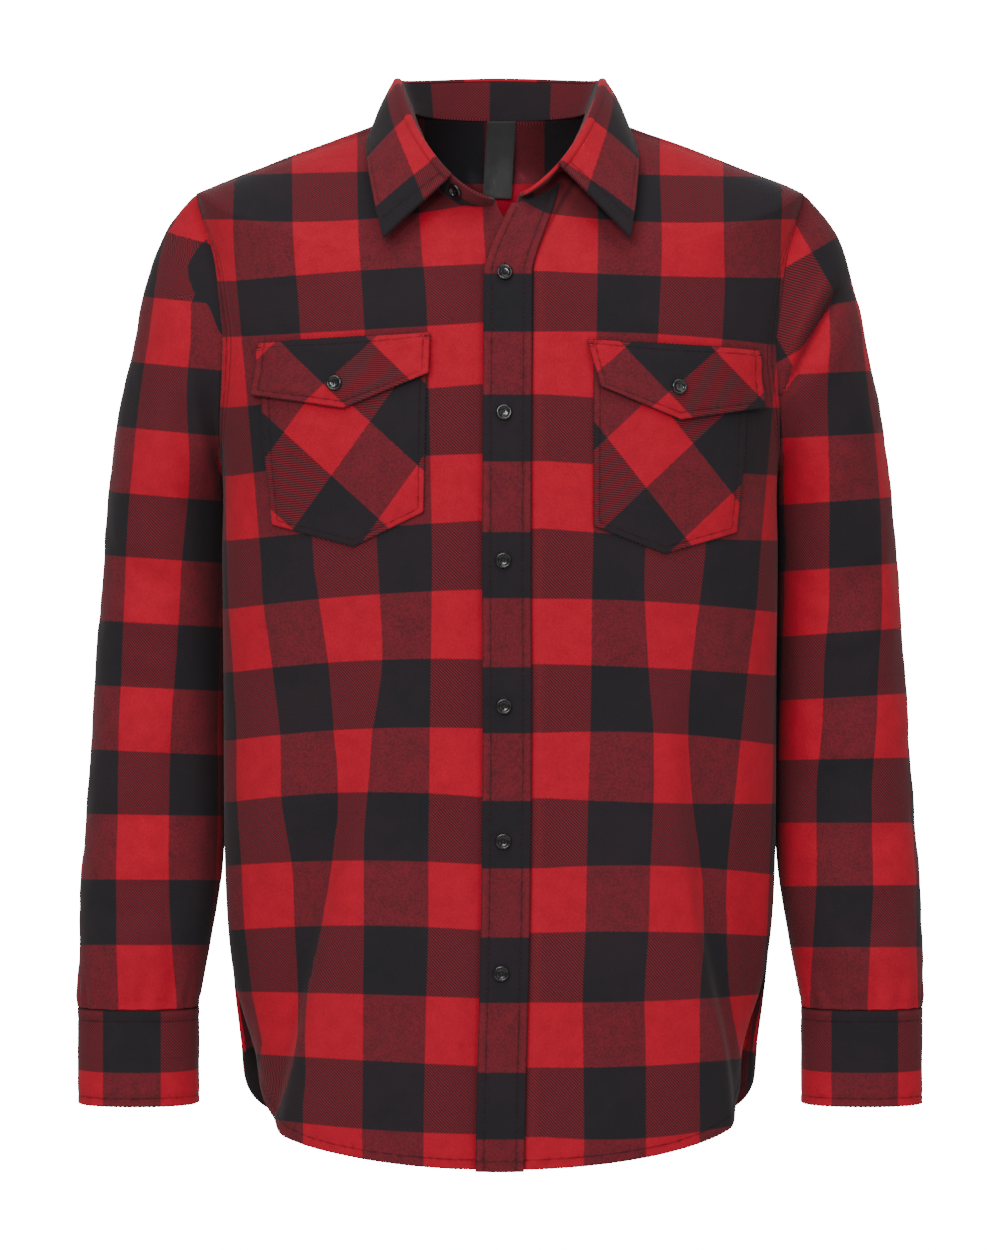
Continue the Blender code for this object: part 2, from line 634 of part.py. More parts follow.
def leaf_point(way, row):
    """way runs from -1, the wearer's right front edge, over 0 at the back to 1."""
    side = 1 if way >= 0 else -1
    far = abs(way)
    turn = math.pi + (LEAF_START[side] - math.pi) * far
    _, head, upward, outward = collar_axes(side, turn)
    rise = head + upward * FOLD_GAP
    rolled = len(LEAF_ROLL_ANGLES) - 1
    if row <= rolled:
        angle = math.radians(LEAF_ROLL_ANGLES[row])
        return rise + LEAF_ROLL * (outward * (1 - math.cos(angle)) + upward * math.sin(angle))
    start = leaf_point(way, rolled)
    edge = through(LEAF_EDGE, far)
    end = Vector((side * (edge.x + LEAF_SPREAD[side] * edge.spread), edge.y, edge.z))
    share = (row - rolled) / LEAF_FALL_ROWS
    over = (end - start).cross(outward.cross(upward)).normalized()
    over *= 1 if over.dot(outward + upward) > 0 else -1
    return start.lerp(end, share) + over * LEAF_BULGE * math.sin(math.pi * share)


def make_collar(cloth):
    right, left = neck_turns(-1), neck_turns(1)
    places = right + [2 * math.pi - turn for turn in reversed(left[:-1])]
    sheet("collar_stand", places, (0, 0.5, 1), stand_point, BAND_WALL, cloth,
          axis=(0, -0.01), offset=0, gap=0)
    ways = mirrored([k / LEAF_STEPS for k in range(LEAF_STEPS + 1)])
    rows = range(len(LEAF_ROLL_ANGLES) + LEAF_FALL_ROWS)
    sheet("collar_leaf", ways, rows, leaf_point, BAND_WALL, cloth, axis=(0, -0.01), offset=0, gap=0)


# --- what lies on the fronts -------------------------------------------------------------------

def patch_point(corners, across, down, lift):
    """across runs from -1 at the inner edge over 0 at the tip to 1 at the outer edge."""
    share = (across + 1) / 2
    tip_share = (corners["tip"].x - corners["base_in"].x) / (corners["base_out"].x - corners["base_in"].x)
    share = share * 2 * tip_share if across <= 0 else tip_share + (1 - tip_share) * across
    top = Vector(corners["top_in"]).lerp(Vector(corners["top_out"]), share)
    if across <= 0:
        base = Vector(corners["base_in"]).lerp(Vector(corners["tip"]), across + 1)
    else:
        base = Vector(corners["tip"]).lerp(Vector(corners["base_out"]), across)
    place = top.lerp(base, down)
    return body_at(place.x, place.y, lift)


def make_pockets(cloth):
    across = [k / 4 for k in range(-4, 5)]
    for name, side in (("right", -1), ("left", 1)):
        sheet(f"pocket_{name}", across, [k / 4 for k in range(5)],
              lambda a, d, side=side: patch_point(POCKETS[side], a, d, PATCH_LIFT),
              PANEL_WALL, cloth, offset=1, gap=0)
        rise = PANEL_WALL + FLAP_LIFT
        sewn = FLAP_ROWS[1]
        sheet(f"pocket_flap_{name}", across, FLAP_ROWS,
              lambda a, d, side=side: patch_point(FLAPS[side], a, d, PATCH_LIFT + rise * min(d / sewn, 1)),
              FLAP_WALL, cloth, offset=1, gap=0)


def make_placket(cloth):
    def strip(across, level):
        ring = ring_at(level)
        x = free_edge_x(ring.z_front) + PLACKET_WIDTH * across
        turn = turn_at_x(ring, x)
        return torso(1, turn, level) + PLACKET_LIFT * torso_normal(1, turn, level)

    levels = [level for level in FRONT_LEVELS if level < PLACKET_TOP] + [PLACKET_TOP]
    sheet("front_placket", (0, 0.5, 1), levels, strip, PLACKET_WALL, cloth, offset=1, gap=0)


def make_label(finish):
    def hang(across, down):
        x = LABEL_X[0] + (LABEL_X[1] - LABEL_X[0]) * across
        z = LABEL_Z[0] + (LABEL_Z[1] - LABEL_Z[0]) * down
        side = 1 if x >= 0 else -1
        low, high = 0.5, NECK
        for _ in range(30):
            level = (low + high) / 2
            ring = ring_at(level)
            low, high = (level, high) if ring.z_back < z else (low, level)
        turn = math.pi - math.asin(abs(x) / ring_at(level).half_width)
        point = torso(side, turn, level)
        return point - torso_normal(side, turn, level) * (PANEL_WALL + LABEL_LIFT + LABEL_SWING * down)

    sheet("neck_label", (0, 0.5, 1), (0, 0.33, 0.66, 1), hang, LABEL_WALL, finish, offset=-1, gap=0)


# --- buttons -------------------------------------------------------------------------------

def make_button(name, centre, facing, finish):
    """A turned disc with a raised rim and a dished middle."""
    bm = bmesh.new()
    verts = [bm.verts.new((BUTTON_RADIUS * r, 0, BUTTON_DEPTH * h)) for r, h in BUTTON_OUTLINE]
    edges = [bm.edges.new(pair) for pair in zip(verts, verts[1:])]
    bmesh.ops.spin(bm, geom=verts + edges, cent=(0, 0, 0), axis=(0, 0, 1), angle=2 * math.pi,
                   steps=BUTTON_SIDES, use_merge=True)
    bmesh.ops.remove_doubles(bm, verts=bm.verts, dist=0.00001)
    bmesh.ops.recalc_face_normals(bm, faces=bm.faces)
    mesh = bpy.data.meshes.new(name)
    bm.to_mesh(mesh)
    bm.free()
    mesh.shade_smooth()
    mesh.set_sharp_from_angle(angle=math.radians(35))
    thing = bpy.data.objects.new(name, mesh)
    thing.rotation_mode = "QUATERNION"
    thing.rotation_quaternion = facing.to_track_quat("Z", "Y")
    thing.location = centre
    thing.data.materials.append(finish)
    shirt.objects.link(thing)


def facing_at(x, z):
    """The front's outward direction at x and z."""
    return (body_at(x, z, 0.01) - body_at(x, z)).normalized()


def make_buttons(finish):
    for number, z in enumerate(FRONT_BUTTONS_Z, start=1):
        x = free_edge_x(z) + BUTTON_INSET
        lift = PLACKET_LIFT + PLACKET_WALL + BUTTON_LIFT
        make_button(f"button_front_{number}", body_at(x, z, lift), facing_at(x, z), finish)
    for name, side in (("right", -1), ("left", 1)):
        place = POCKET_BUTTONS[side]
        lift = PATCH_LIFT + PANEL_WALL + FLAP_LIFT + FLAP_WALL + BUTTON_LIFT
        make_button(f"button_pocket_{name}", body_at(place.x, place.z, lift),
                    facing_at(place.x, place.z), finish)
        angle = -CUFF_START + CUFF_LAP / 2
        z = (CUFF_TOP + CUFF_BOTTOM) / 2
        on_cuff = cuff_oval(side, angle, z, CUFF_WALL + LAP_GAP)
        around = cuff_oval(side, angle + 0.05, z) - cuff_oval(side, angle - 0.05, z)
        outward = side * Vector((0, 0, 1)).cross(around).normalized()
        if outward.dot(on_cuff - Vector((side * CUFF_X, CUFF_Y, z))) < 0:
            outward = -outward
        make_button(f"button_cuff_{name}", on_cuff + outward * BUTTON_LIFT, outward, finish)
    foot, head, upward, outward = collar_axes(-1, STAND_BUTTON_TURN)
    centre = foot.lerp(head, STAND_BUTTON_HEIGHT) + outward * (BAND_WALL + BUTTON_LIFT) / 2
    make_button("button_stand", centre, outward, finish)


# --- the shirt -----------------------------------------------------------------------------

for thing in list(bpy.data.objects):
    bpy.data.objects.remove(thing)
shirt = bpy.data.collections.new("flannel_shirt")
bpy.context.scene.collection.children.link(shirt)

STAND_ENDS = (front_turn(-1, 0, NECK), 2 * math.pi - front_turn(1, 0, NECK))
flannel = material("flannel")
dark = material("flannel_dark")
make_body(flannel)
make_sleeves(flannel)
make_collar(dark)
make_placket(dark)
make_pockets(dark)
make_label(material("label", roughness=0.7))
make_buttons(material("button", roughness=0.25))
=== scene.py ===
import math
from collections import namedtuple
from functools import lru_cache, partial

import bmesh
import bpy
from mathutils import Matrix, Vector, noise
from mathutils.bvhtree import BVHTree


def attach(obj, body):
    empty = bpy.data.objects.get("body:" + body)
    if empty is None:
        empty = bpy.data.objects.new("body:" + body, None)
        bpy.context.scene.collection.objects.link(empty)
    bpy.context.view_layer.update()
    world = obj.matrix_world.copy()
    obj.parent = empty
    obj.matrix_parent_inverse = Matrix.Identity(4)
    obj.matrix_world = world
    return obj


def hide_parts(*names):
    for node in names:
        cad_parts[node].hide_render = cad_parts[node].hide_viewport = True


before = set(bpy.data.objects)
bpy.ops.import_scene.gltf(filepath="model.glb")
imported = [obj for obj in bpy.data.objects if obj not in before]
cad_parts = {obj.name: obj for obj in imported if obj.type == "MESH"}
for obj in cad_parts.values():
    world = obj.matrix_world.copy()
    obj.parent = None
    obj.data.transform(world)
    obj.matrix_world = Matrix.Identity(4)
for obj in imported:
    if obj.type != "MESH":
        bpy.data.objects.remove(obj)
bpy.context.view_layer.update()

mm = 0.001

# the camera comes first: level, straight at the front
camera = {"place": Vector((0.0, -3.0, -0.386)), "lens": 114.408, "chest": -0.118}


def placeCamera():
    data = bpy.data.cameras.new("frontCamera")
    data.lens = camera["lens"]
    data.clip_end = 60
    thing = bpy.data.objects.new("frontCamera", data)
    thing.location = camera["place"]
    thing.rotation_euler = (math.radians(90), 0, 0)
    bpy.context.scene.collection.objects.link(thing)
    bpy.context.scene.camera = thing


placeCamera()


def seen(point):
    # where a point shows on the chest's plane from the camera, in millimetres
    scale = (camera["chest"] - camera["place"].y) / (point.y - camera["place"].y)
    return point.x * scale * 1000, (camera["place"].z + (point.z - camera["place"].z) * scale) * 1000


# numbers
def clamp(value, low=0.0, high=1.0):
    return min(max(value, low), high)


def smooth(value):
    t = clamp(value)
    return t * t * (3 - 2 * t)


def bell(away, half):
    return math.exp(-(away / half) ** 2)


def sideOf(value):
    return 1 if value >= 0 else -1


def mix(low, high, share):
    return low + (high - low) * share


def steps(start, end, count):
    return [start + (end - start) * k / count for k in range(count)]


def through(rows, at):
    # a smooth curve through the rows of a table, whose first column is the place
    places = [row[0] for row in rows]
    at = clamp(at, places[0], places[-1])
    i = max(k for k in range(len(rows) - 1) if places[k] <= at or k == 0)
    span = places[i + 1] - places[i]
    t = (at - places[i]) / span
    values = []
    for column in range(len(rows[0])):
        low, high = rows[i][column], rows[i + 1][column]
        rise = (high - low) / span
        before = rise if i == 0 else (high - rows[i - 1][column]) / (places[i + 1] - places[i - 1])
        after = rise if i + 2 == len(rows) else (rows[i + 2][column] - low) / (places[i + 2] - places[i])
        values.append(low * (1 + 2 * t) * (1 - t) ** 2 + high * t * t * (3 - 2 * t)
                      + before * span * t * (1 - t) ** 2 - after * span * t * t * (1 - t))
    return values


def reach(turn, squareness):
    return (abs(math.sin(turn)) ** squareness + abs(math.cos(turn)) ** squareness) ** (-1 / squareness)


def ripple(x, y, z, size, seed=0.0):
    # soft unevenness between about -1 and 1, of this size in metres
    return noise.noise(Vector((x / size + seed, y / size - seed, z / size + 2 * seed)))


def uneven(waves, x, y, z):
    # waves are rows of height, how much z counts, size and seed
    return sum(height * ripple(x, y, z * share, size, seed) for height, share, size, seed in waves)


def lengths(points):
    # how far along a row each of its points lies
    gone = [0.0]
    for a, b in zip(points, points[1:]):
        gone.append(gone[-1] + (b - a).length)
    return gone


def pointwise(place):
    # a piece's checks from a function of column number, row number and point
    return lambda grid: [[place(i, j, point) for i, point in enumerate(row)] for j, row in enumerate(grid)]


def rowwise(placeRow):
    # a piece's checks from a function of one row of its points
    return lambda grid: [placeRow(row) for row in grid]


# the body's surface: a stack of closed rings from the hem to the neckline
Ring = namedtuple("Ring", "level halfWidth squareness ySide yFront yBack zSide zFront zBack dip")
bodyRings = (
    Ring(0.00, 0.1935, 2.60, 0.000, -0.1110, 0.1000, -0.7040, -0.7825, -0.7900, 0.70),
    Ring(0.12, 0.2015, 2.70, 0.000, -0.1135, 0.1010, -0.6480, -0.6700, -0.6710, 0.85),
    Ring(0.24, 0.2065, 2.75, 0.000, -0.1150, 0.0995, -0.5680, -0.5720, -0.5720, 1.00),
    Ring(0.40, 0.2076, 2.70, 0.000, -0.1160, 0.0985, -0.4400, -0.4400, -0.4400, 1.20),
    Ring(0.54, 0.2086, 2.70, 0.000, -0.1200, 0.1060, -0.3350, -0.3350, -0.3350, 1.50),
    Ring(0.63, 0.2085, 2.65, 0.000, -0.1220, 0.1100, -0.2730, -0.2730, -0.2730, 2.00),
    Ring(0.71, 0.2175, 2.60, 0.000, -0.1210, 0.1120, -0.2080, -0.2260, -0.2150, 2.00),
    Ring(0.79, 0.2215, 2.55, 0.000, -0.1175, 0.1075, -0.1420, -0.1830, -0.1500, 2.00),
    Ring(0.8364, 0.2215, 2.50, 0.000, -0.1145, 0.1010, -0.1010, -0.1565, -0.1090, 2.00),
    Ring(0.89, 0.2280, 2.45, 0.000, -0.1095, 0.0920, -0.0610, -0.1270, -0.0720, 2.00),
)
shoulderRings = (
    bodyRings[-1],
    Ring(0.945, 0.1450, 2.25, 0.003, -0.1005, 0.0785, -0.0275, -0.0990, -0.0340, 1.80),
    Ring(1.00, 0.0660, 2.10, 0.008, -0.0880, 0.0600, 0.0030, -0.0735, 0.0030, 1.60),
)
underarm, shoulder, neck = 0.63, 0.89, 1.0
armhole = {"front": 0.0595, "back": 0.070, "skew": 0.9, "roundness": 0.62, "steps": 10}
ringSteps = 2000
ringTable = [Ring(*through(bodyRings if k / ringSteps <= shoulder else shoulderRings, k / ringSteps))
             for k in range(ringSteps + 1)]


@lru_cache(maxsize=None)
def ringAt(level):
    place = clamp(level) * ringSteps
    i = min(int(place), ringSteps - 1)
    return Ring(*(mix(a, b, place - i) for a, b in zip(ringTable[i], ringTable[i + 1])))


def ringPoint(ring, side, turn):
    far = reach(turn, ring.squareness)
    across, along = math.sin(turn) * far, math.cos(turn) * far
    yEnd, zEnd = (ring.yFront, ring.zFront) if along > 0 else (ring.yBack, ring.zBack)
    return Vector((side * ring.halfWidth * across,
                   ring.ySide + (yEnd - ring.ySide) * abs(along),
                   ring.zSide + (zEnd - ring.zSide) * abs(math.cos(turn)) ** ring.dip))


def torso(side, turn, level):
    return ringPoint(ringAt(level), side, turn)


def torsoNormal(side, turn, level):
    step = 0.003
    low, high = max(level - step, 0), min(level + step, neck)
    around = torso(side, turn + step, level) - torso(side, turn - step, level)
    upward = torso(side, turn, high) - torso(side, turn, low)
    return side * around.cross(upward).normalized()


def turnAtX(ring, x):
    share = min(abs(x) / ring.halfWidth, 0.9999)
    return math.copysign(math.atan2(share, (1 - share ** ring.squareness) ** (1 / ring.squareness)), x)


def turnAtOpening(ring, opening, depth):
    share = min(opening / depth, 0.9999)
    return math.atan2((1 - share ** ring.squareness) ** (1 / ring.squareness), share)


def levelWhere(height, z, low=0.0):
    # the level at which a height that rises with it passes z
    high = neck
    for _ in range(24):
        level = (low + high) / 2
        low, high = (level, high) if height(level) < z else (low, level)
    return level


def bodyAt(x, z, lift=0.0):
    # the front's surface at x and z, moved out by lift and by the cloth's own relief
    side = sideOf(x)
    level = levelWhere(lambda tried: torso(side, turnAtX(ringAt(tried), abs(x)), tried).z, z)
    turn = turnAtX(ringAt(level), abs(x))
    point = torso(side, turn, level)
    return point + (lift + frontRelief(point)) * torsoNormal(side, turn, level)


# the front opening: z and x of the placket's free edge, then its sizes
placketLine = ((-0.795, -0.0180), (-0.700, -0.0160), (-0.600, -0.0136),
               (-0.450, -0.0124), (-0.340, -0.0128), (-0.129, -0.0117))
placket = {"width": 0.0350, "top": 0.988, "lift": 0.0005, "wall": 0.0018, "stitch": 0.0059, "lean": 13.8,
           "longer": 0.0013}
opening = {"vBottom": -0.129, "vHeight": 0.057, "vLeft": 0.0240, "vPower": 1.35,
           "closed": 0.0165, "open": -0.0045, "bottom": -0.116, "power": 1.1, "neckZ": -0.0735,
           # columns beside the edge, and how the right front steps behind the left one
           "inset": 0.0030, "leftStrips": (0.0, 0.0120, 0.0260), "rightStrip": 0.0140, "rightLeast": 0.0040,
           "behindStart": 0.0170, "behindWidth": 0.0140, "behind": 0.0019}


def freeEdgeX(z):
    rise = max(z - opening["vBottom"], 0) / opening["vHeight"]
    return through(placketLine, z)[1] + opening["vLeft"] * rise ** opening["vPower"]


def rightEdgeX(z):
    share = clamp((z - opening["bottom"]) / (opening["neckZ"] - opening["bottom"]))
    return mix(opening["closed"], opening["open"], share ** opening["power"])


# lines that neighbouring panels share
def armholeTurn(level, behind):
    height = (level - underarm) / (shoulder - underarm)
    if height <= 0 or height >= 1:
        return math.pi / 2
    shape = math.sin(math.pi * height ** armhole["skew"]) ** armhole["roundness"]
    ring = ringAt(level)
    if behind:
        return math.pi - turnAtOpening(ring, armhole["back"] * shape, ring.yBack)
    return turnAtOpening(ring, armhole["front"] * shape, -ring.yFront)


def armholeLevel(step):
    # the armhole's level some steps down one side from its top
    return underarm + (shoulder - underarm) * (1 + math.cos(math.pi * step / armhole["steps"])) / 2


yokeFrontTurn, neckCornerTurn, yokeCorner, yokeStep = math.radians(79), math.radians(112), 0.64, 3
backSeamLevel = armholeLevel(yokeStep)
calmTurns = ((0.00, 90), (0.50, 89), (0.63, 81), (0.74, 70), (0.84, 71), (0.92, 77), (1.00, 79))


@lru_cache(maxsize=None)
def sideTurns(level, behind):
    # the outer edge's true turn, and what it would be without the armhole's tight ends
    if level >= shoulder:
        edge = mix(math.pi / 2, yokeFrontTurn, (level - shoulder) / (neck - shoulder))
    else:
        edge = armholeTurn(level, behind)
    calm = math.radians(through(calmTurns, level)[1])
    return edge, math.pi - calm if behind else calm


def spreadTurn(start, share, level, behind):
    edge, calm = sideTurns(level, behind)
    return start + (calm - start) * share + (edge - calm) * share ** 5


@lru_cache(maxsize=None)
def frontTurns(side, level):
    # the turns of a front's first three columns
    ring = ringAt(level)
    free = freeEdgeX(ring.zFront)
    if side > 0:
        xs = [free + opening["inset"] + strip for strip in opening["leftStrips"]]
    else:
        edge = -rightEdgeX(ring.zFront)
        near = max(edge + opening["rightLeast"], -free + opening["inset"])
        xs = (edge, near, near + opening["rightStrip"])
    return [turnAtX(ring, x) for x in xs]


# relief of the fronts, given in millimetres on the chest's plane;
# a long soft step on each side: z, x of its edge, how deep the cloth steps in, and over what width
fronts = {
    "steps": {
        -1: ((-760, 168, 12, 24), (-698, 154, 15, 24), (-654, 143, 16, 24), (-606, 131, 15, 24),
             (-558, 118, 13, 24), (-513, 109, 9, 24), (-466, 106, 5, 26), (-415, 107, 2, 30),
             (-368, 107, 0, 34)),
        1: ((-760, 176, 11, 20), (-697, 170, 14, 20), (-654, 160, 15, 22), (-611, 150, 14, 22),
            (-563, 143, 13, 22), (-516, 137, 10, 22), (-466, 132, 6, 24), (-415, 134, 2, 30),
            (-368, 138, 0, 34)),
    },
    "stepTop": -368, "calmSide": 70, "besideSleeve": 0.4,
    "waves": ((1.1, 0.55, 52, 3), (0.5, 0.7, 21, 7)),
    # depth, half width and path of each crease; a ridge has a negative depth
    "creases": (
        (1.8, 5, ((-31, -88), (-24, -100), (-13, -118))),
        (-1.3, 6, ((-40, -92), (-30, -112), (-17, -128))),
        (1.6, 9, ((-196, -170), (-170, -200), (-152, -262))),
        (-1.4, 9, ((-190, -205), (-168, -250), (-160, -300))),
        (1.6, 9, ((200, -180), (180, -215), (170, -262))),
        (1.5, 8, ((-196, -250), (-180, -285), (-176, -350), (-180, -420))),
        (-1.6, 9, ((-170, -330), (-160, -390), (-150, -450))),
        (1.8, 10, ((190, -260), (176, -300), (170, -360), (176, -430))),
        (-1.7, 10, ((160, -340), (160, -400), (166, -460))),
        (1.6, 11, ((-60, -345), (-66, -420), (-72, -500), (-86, -590), (-98, -680))),
        (-1.4, 11, ((-90, -420), (-88, -500), (-96, -560))),
        (1.4, 11, ((64, -350), (70, -430), (82, -520), (94, -620), (104, -700))),
        (-1.3, 10, ((98, -440), (102, -520), (112, -600))),
        (1.2, 8, ((-30, -480), (-36, -560), (-34, -640))),
        (1.2, 8, ((36, -500), (40, -580), (46, -650))),
        (1.5, 9, ((-185, -520), (-176, -580), (-172, -640))),
        (1.5, 9, ((190, -500), (186, -560), (188, -620))),
        (-1.0, 7, ((-60, -140), (-78, -158), (-104, -166))),
        (-1.0, 7, ((64, -146), (86, -160), (116, -170))),
    ),
}


def creaseAt(creases, x, z):
    total = 0.0
    for depth, width, path in creases:
        margin = 2.2 * width
        (lowX, highX), (lowZ, highZ) = ((min(line) - margin, max(line) + margin) for line in zip(*path))
        if not (lowX < x < highX and lowZ < z < highZ):
            continue
        best, where, gone = 1e9, 0.0, 0.0
        for (ax, az), (bx, bz) in zip(path, path[1:]):
            length = math.hypot(bx - ax, bz - az)
            t = clamp(((x - ax) * (bx - ax) + (z - az) * (bz - az)) / length ** 2)
            away = math.hypot(x - mix(ax, bx, t), z - mix(az, bz, t))
            if away < best:
                best, where = away, gone + t * length
            gone += length
        ends = smooth(where / (0.4 * gone)) * smooth((gone - where) / (0.4 * gone))
        total -= depth * bell(best, width) * (0.25 + 0.75 * ends)
    return total


def frontRelief(point):
    x, z = seen(point)
    total = creaseAt(fronts["creases"], x, z)
    if z < fronts["stepTop"]:
        _, edge, depth, width = through(fronts["steps"][sideOf(x)], z)
        past = abs(x) - edge + width / 2
        total -= depth * smooth(past / width) * (1 - smooth((past - width) / fronts["calmSide"]))
    total += uneven(fronts["waves"], x, 0, z)
    loose = smooth((abs(x - 3) - 16) / 24)              # the cloth is calm under the placket
    beside = smooth((abs(point.x) - 0.194) / 0.012) * smooth((-0.2 - point.z) / 0.1)
    return mix(total * (0.25 + 0.75 * loose), fronts["besideSleeve"], beside) * mm


# checks: u counts the warp columns and v the weft rows; 0 to 1 is black and 1 to 2 red in u,
# 0 to 1 red and 1 to 2 black in v
check = {"width": 0.0456, "height": 0.0488, "topRow": 46, "innerColumn": 46, "outerScale": 1.2,
         "shoulderZ": -130, "shoulderMost": 3.97, "sideX": 190, "shownWithin": 0.024}
# seen z, and the seen distance of four warp lines from the middle
warpLines = {
    -1: ((-752.5, 55.5, 100, 143.5, 165.5), (-701.5, 54.5, 99.5, 142.5, 149),
         (-654.5, 53.5, 99.5, 140.5, 145.5), (-607.5, 52, 99, 130.5, 148),
         (-560, 52, 99, 122, 151), (-513, 51.5, 97.5, 117, 158.5),
         (-466, 51, 93, 120, 159.5), (-415, 50.5, 85.5, 124.5, 165.5), (-368, 50, 87, 131.5, 172),
         (-339, 49.5, 88.5, 135.5, 173.5), (-244.5, 51, 94.5, 140.5, 181.5), (-150, 53.5, 99.5, 146.5, 190),
         (-106.5, 57.5, 102.5, 150, 193.5), (-59.5, 59.5, 103.5, 151, 193.5)),
    1: ((-752.5, 61, 106, 145, 183), (-701.5, 60.5, 106, 145, 175), (-654.5, 60, 105, 146, 166.5),
        (-607.5, 62, 108, 148.5, 164), (-560, 63, 109.5, 146, 164.5), (-513, 64, 111.5, 139.5, 170),
        (-466, 65.5, 111.5, 136.5, 175), (-415, 66.5, 108, 139, 180.5), (-368, 67, 105, 145, 186.5),
        (-339, 67.5, 105, 148.5, 188.5), (-244.5, 69, 110.5, 156, 196.5), (-150, 70.5, 116, 163, 203),
        (-106.5, 71, 117.5, 162.5, 204), (-59.5, 70.5, 116, 162, 205.5)),
}
# seen z of the weft lines at seven stations, the middle one on the placket
weftStations = (-188.5, -112.5, -36.5, 3.0, 40.0, 109.0, 192.0)
weftLines = (
    (-59.5, -57.5, -56, -59.5, -57.5, -59.5, -61),
    (-92, -92.5, -83.5, -82.5, -88, -93.5, -92),
    (-136, -129.5, -125, -131.5, -129.5, -132.5, -134),
    (-176.5, -172.5, -168, -173.5, -173, -174.5, -182),
    (-227.5, -220, -213, -219, -219, -223.5, -228),
    (-277, -267.5, -262.5, -267.5, -267.5, -272, -277),
    (-324, -317, -311.5, -318.5, -316.5, -321.5, -324.5),
    (-373.5, -365.5, -361, -366.5, -367, -369, -376),
    (-419.5, -412.5, -410.5, -416.5, -414.5, -417, -422),
    (-469, -462, -460.5, -464.5, -464, -464, -472),
    (-513.5, -507.5, -509, -513.5, -512, -515, -515.5),
    (-560, -557, -558.5, -562.5, -562, -560.5, -566.5),
    (-607, -604, -606, -612.5, -609, -608.5, -611.5),
    (-652, -653.5, -656, -660, -660, -659, -653.5),
    (-696.5, -701, -705, -710.5, -707, -705.5, -698.5),
    (-741.5, -750.5, -755, -759, -758, -758, -743.5),
)


def weftPlace(part, x, z):
    # part is -1 or 1 for a front, 0 for the placket
    if part == 0:
        rows = [row[3] for row in weftLines]
    else:
        picks = (0, 1, 2) if part < 0 else (4, 5, 6)
        a, b, c = (weftStations[k] for k in picks)
        x = clamp(x, a - 6, c + (6 if part > 0 else 22))
        shares = ((x - b) * (x - c) / ((a - b) * (a - c)), (x - a) * (x - c) / ((b - a) * (b - c)),
                  (x - a) * (x - b) / ((c - a) * (c - b)))
        rows = [sum(row[k] * share for k, share in zip(picks, shares)) for row in weftLines]
    if z >= rows[0]:
        return -1 - (z - rows[0]) / check["topRow"]
    for k in range(len(rows) - 1):
        if z >= rows[k + 1]:
            return -1 + k + (rows[k] - z) / (rows[k] - rows[k + 1])
    return len(rows) - 2 + (rows[-1] - z) * mm / check["height"]


@lru_cache(maxsize=None)
def warpAt(side, z):
    return through(warpLines[side], z)[1:]


def frontChecks(side):
    def rowChecks(row):
        line, past, last = [], None, None
        for point in row:
            x, z = seen(point)
            edges, far = warpAt(side, round(z, 0)), side * x
            if past is not None:            # beyond the last line u grows with the cloth's own length
                past += (point - last).length / check["width"]
                if z > check["shoulderZ"]:
                    past = min(past, check["shoulderMost"])
                u = past
            elif far < edges[0]:
                u = (far - edges[0]) / check["innerColumn"]
            elif far >= edges[3]:
                u = past = 3 + (far - edges[3]) * mm * check["outerScale"] / check["width"]
            else:
                k = max(i for i in range(3) if far >= edges[i])
                u = k + (far - edges[k]) / (edges[k + 1] - edges[k])
            last = point
            line.append((u if side > 0 else 1 - u, weftPlace(side, x, z)))
        return line

    return rowwise(rowChecks)


def shownScale(scale, away):
    return mix(scale, 1, smooth((abs(away) - check["shownWithin"]) / 0.03))


def sideWeft(side, z):
    # the weft row at a side seam, which the back carries on
    return weftPlace(side, side * check["sideX"], seen(Vector((0, 0, z)))[1])


# materials
class Wire:
    # a socket that can be written in sums; each operator adds a Math node
    def __init__(self, shader, socket):
        self.shader, self.socket = shader, socket

    def maths(self, operation, first, second=None):
        values = [first] if second is None else [first, second]
        return self.shader.node("ShaderNodeMath", {"operation": operation}, dict(enumerate(values)))

    def __add__(self, other):
        return self.maths("ADD", self, other)

    def __sub__(self, other):
        return self.maths("SUBTRACT", self, other)

    def __rsub__(self, other):
        return self.maths("SUBTRACT", other, self)

    def __mul__(self, other):
        return self.maths("MULTIPLY", self, other)

    def __truediv__(self, other):
        return self.maths("DIVIDE", self, other)

    __radd__, __rmul__ = __add__, __mul__

    def clamped(self):
        return self.shader.node("ShaderNodeMath", {"operation": "ADD", "use_clamp": True}, {0: self, 1: 0.0})

    def sine(self):
        return self.maths("SINE", self)

    def size(self):
        return self.maths("ABSOLUTE", self)

    def fraction(self):
        return self.maths("FRACT", self)


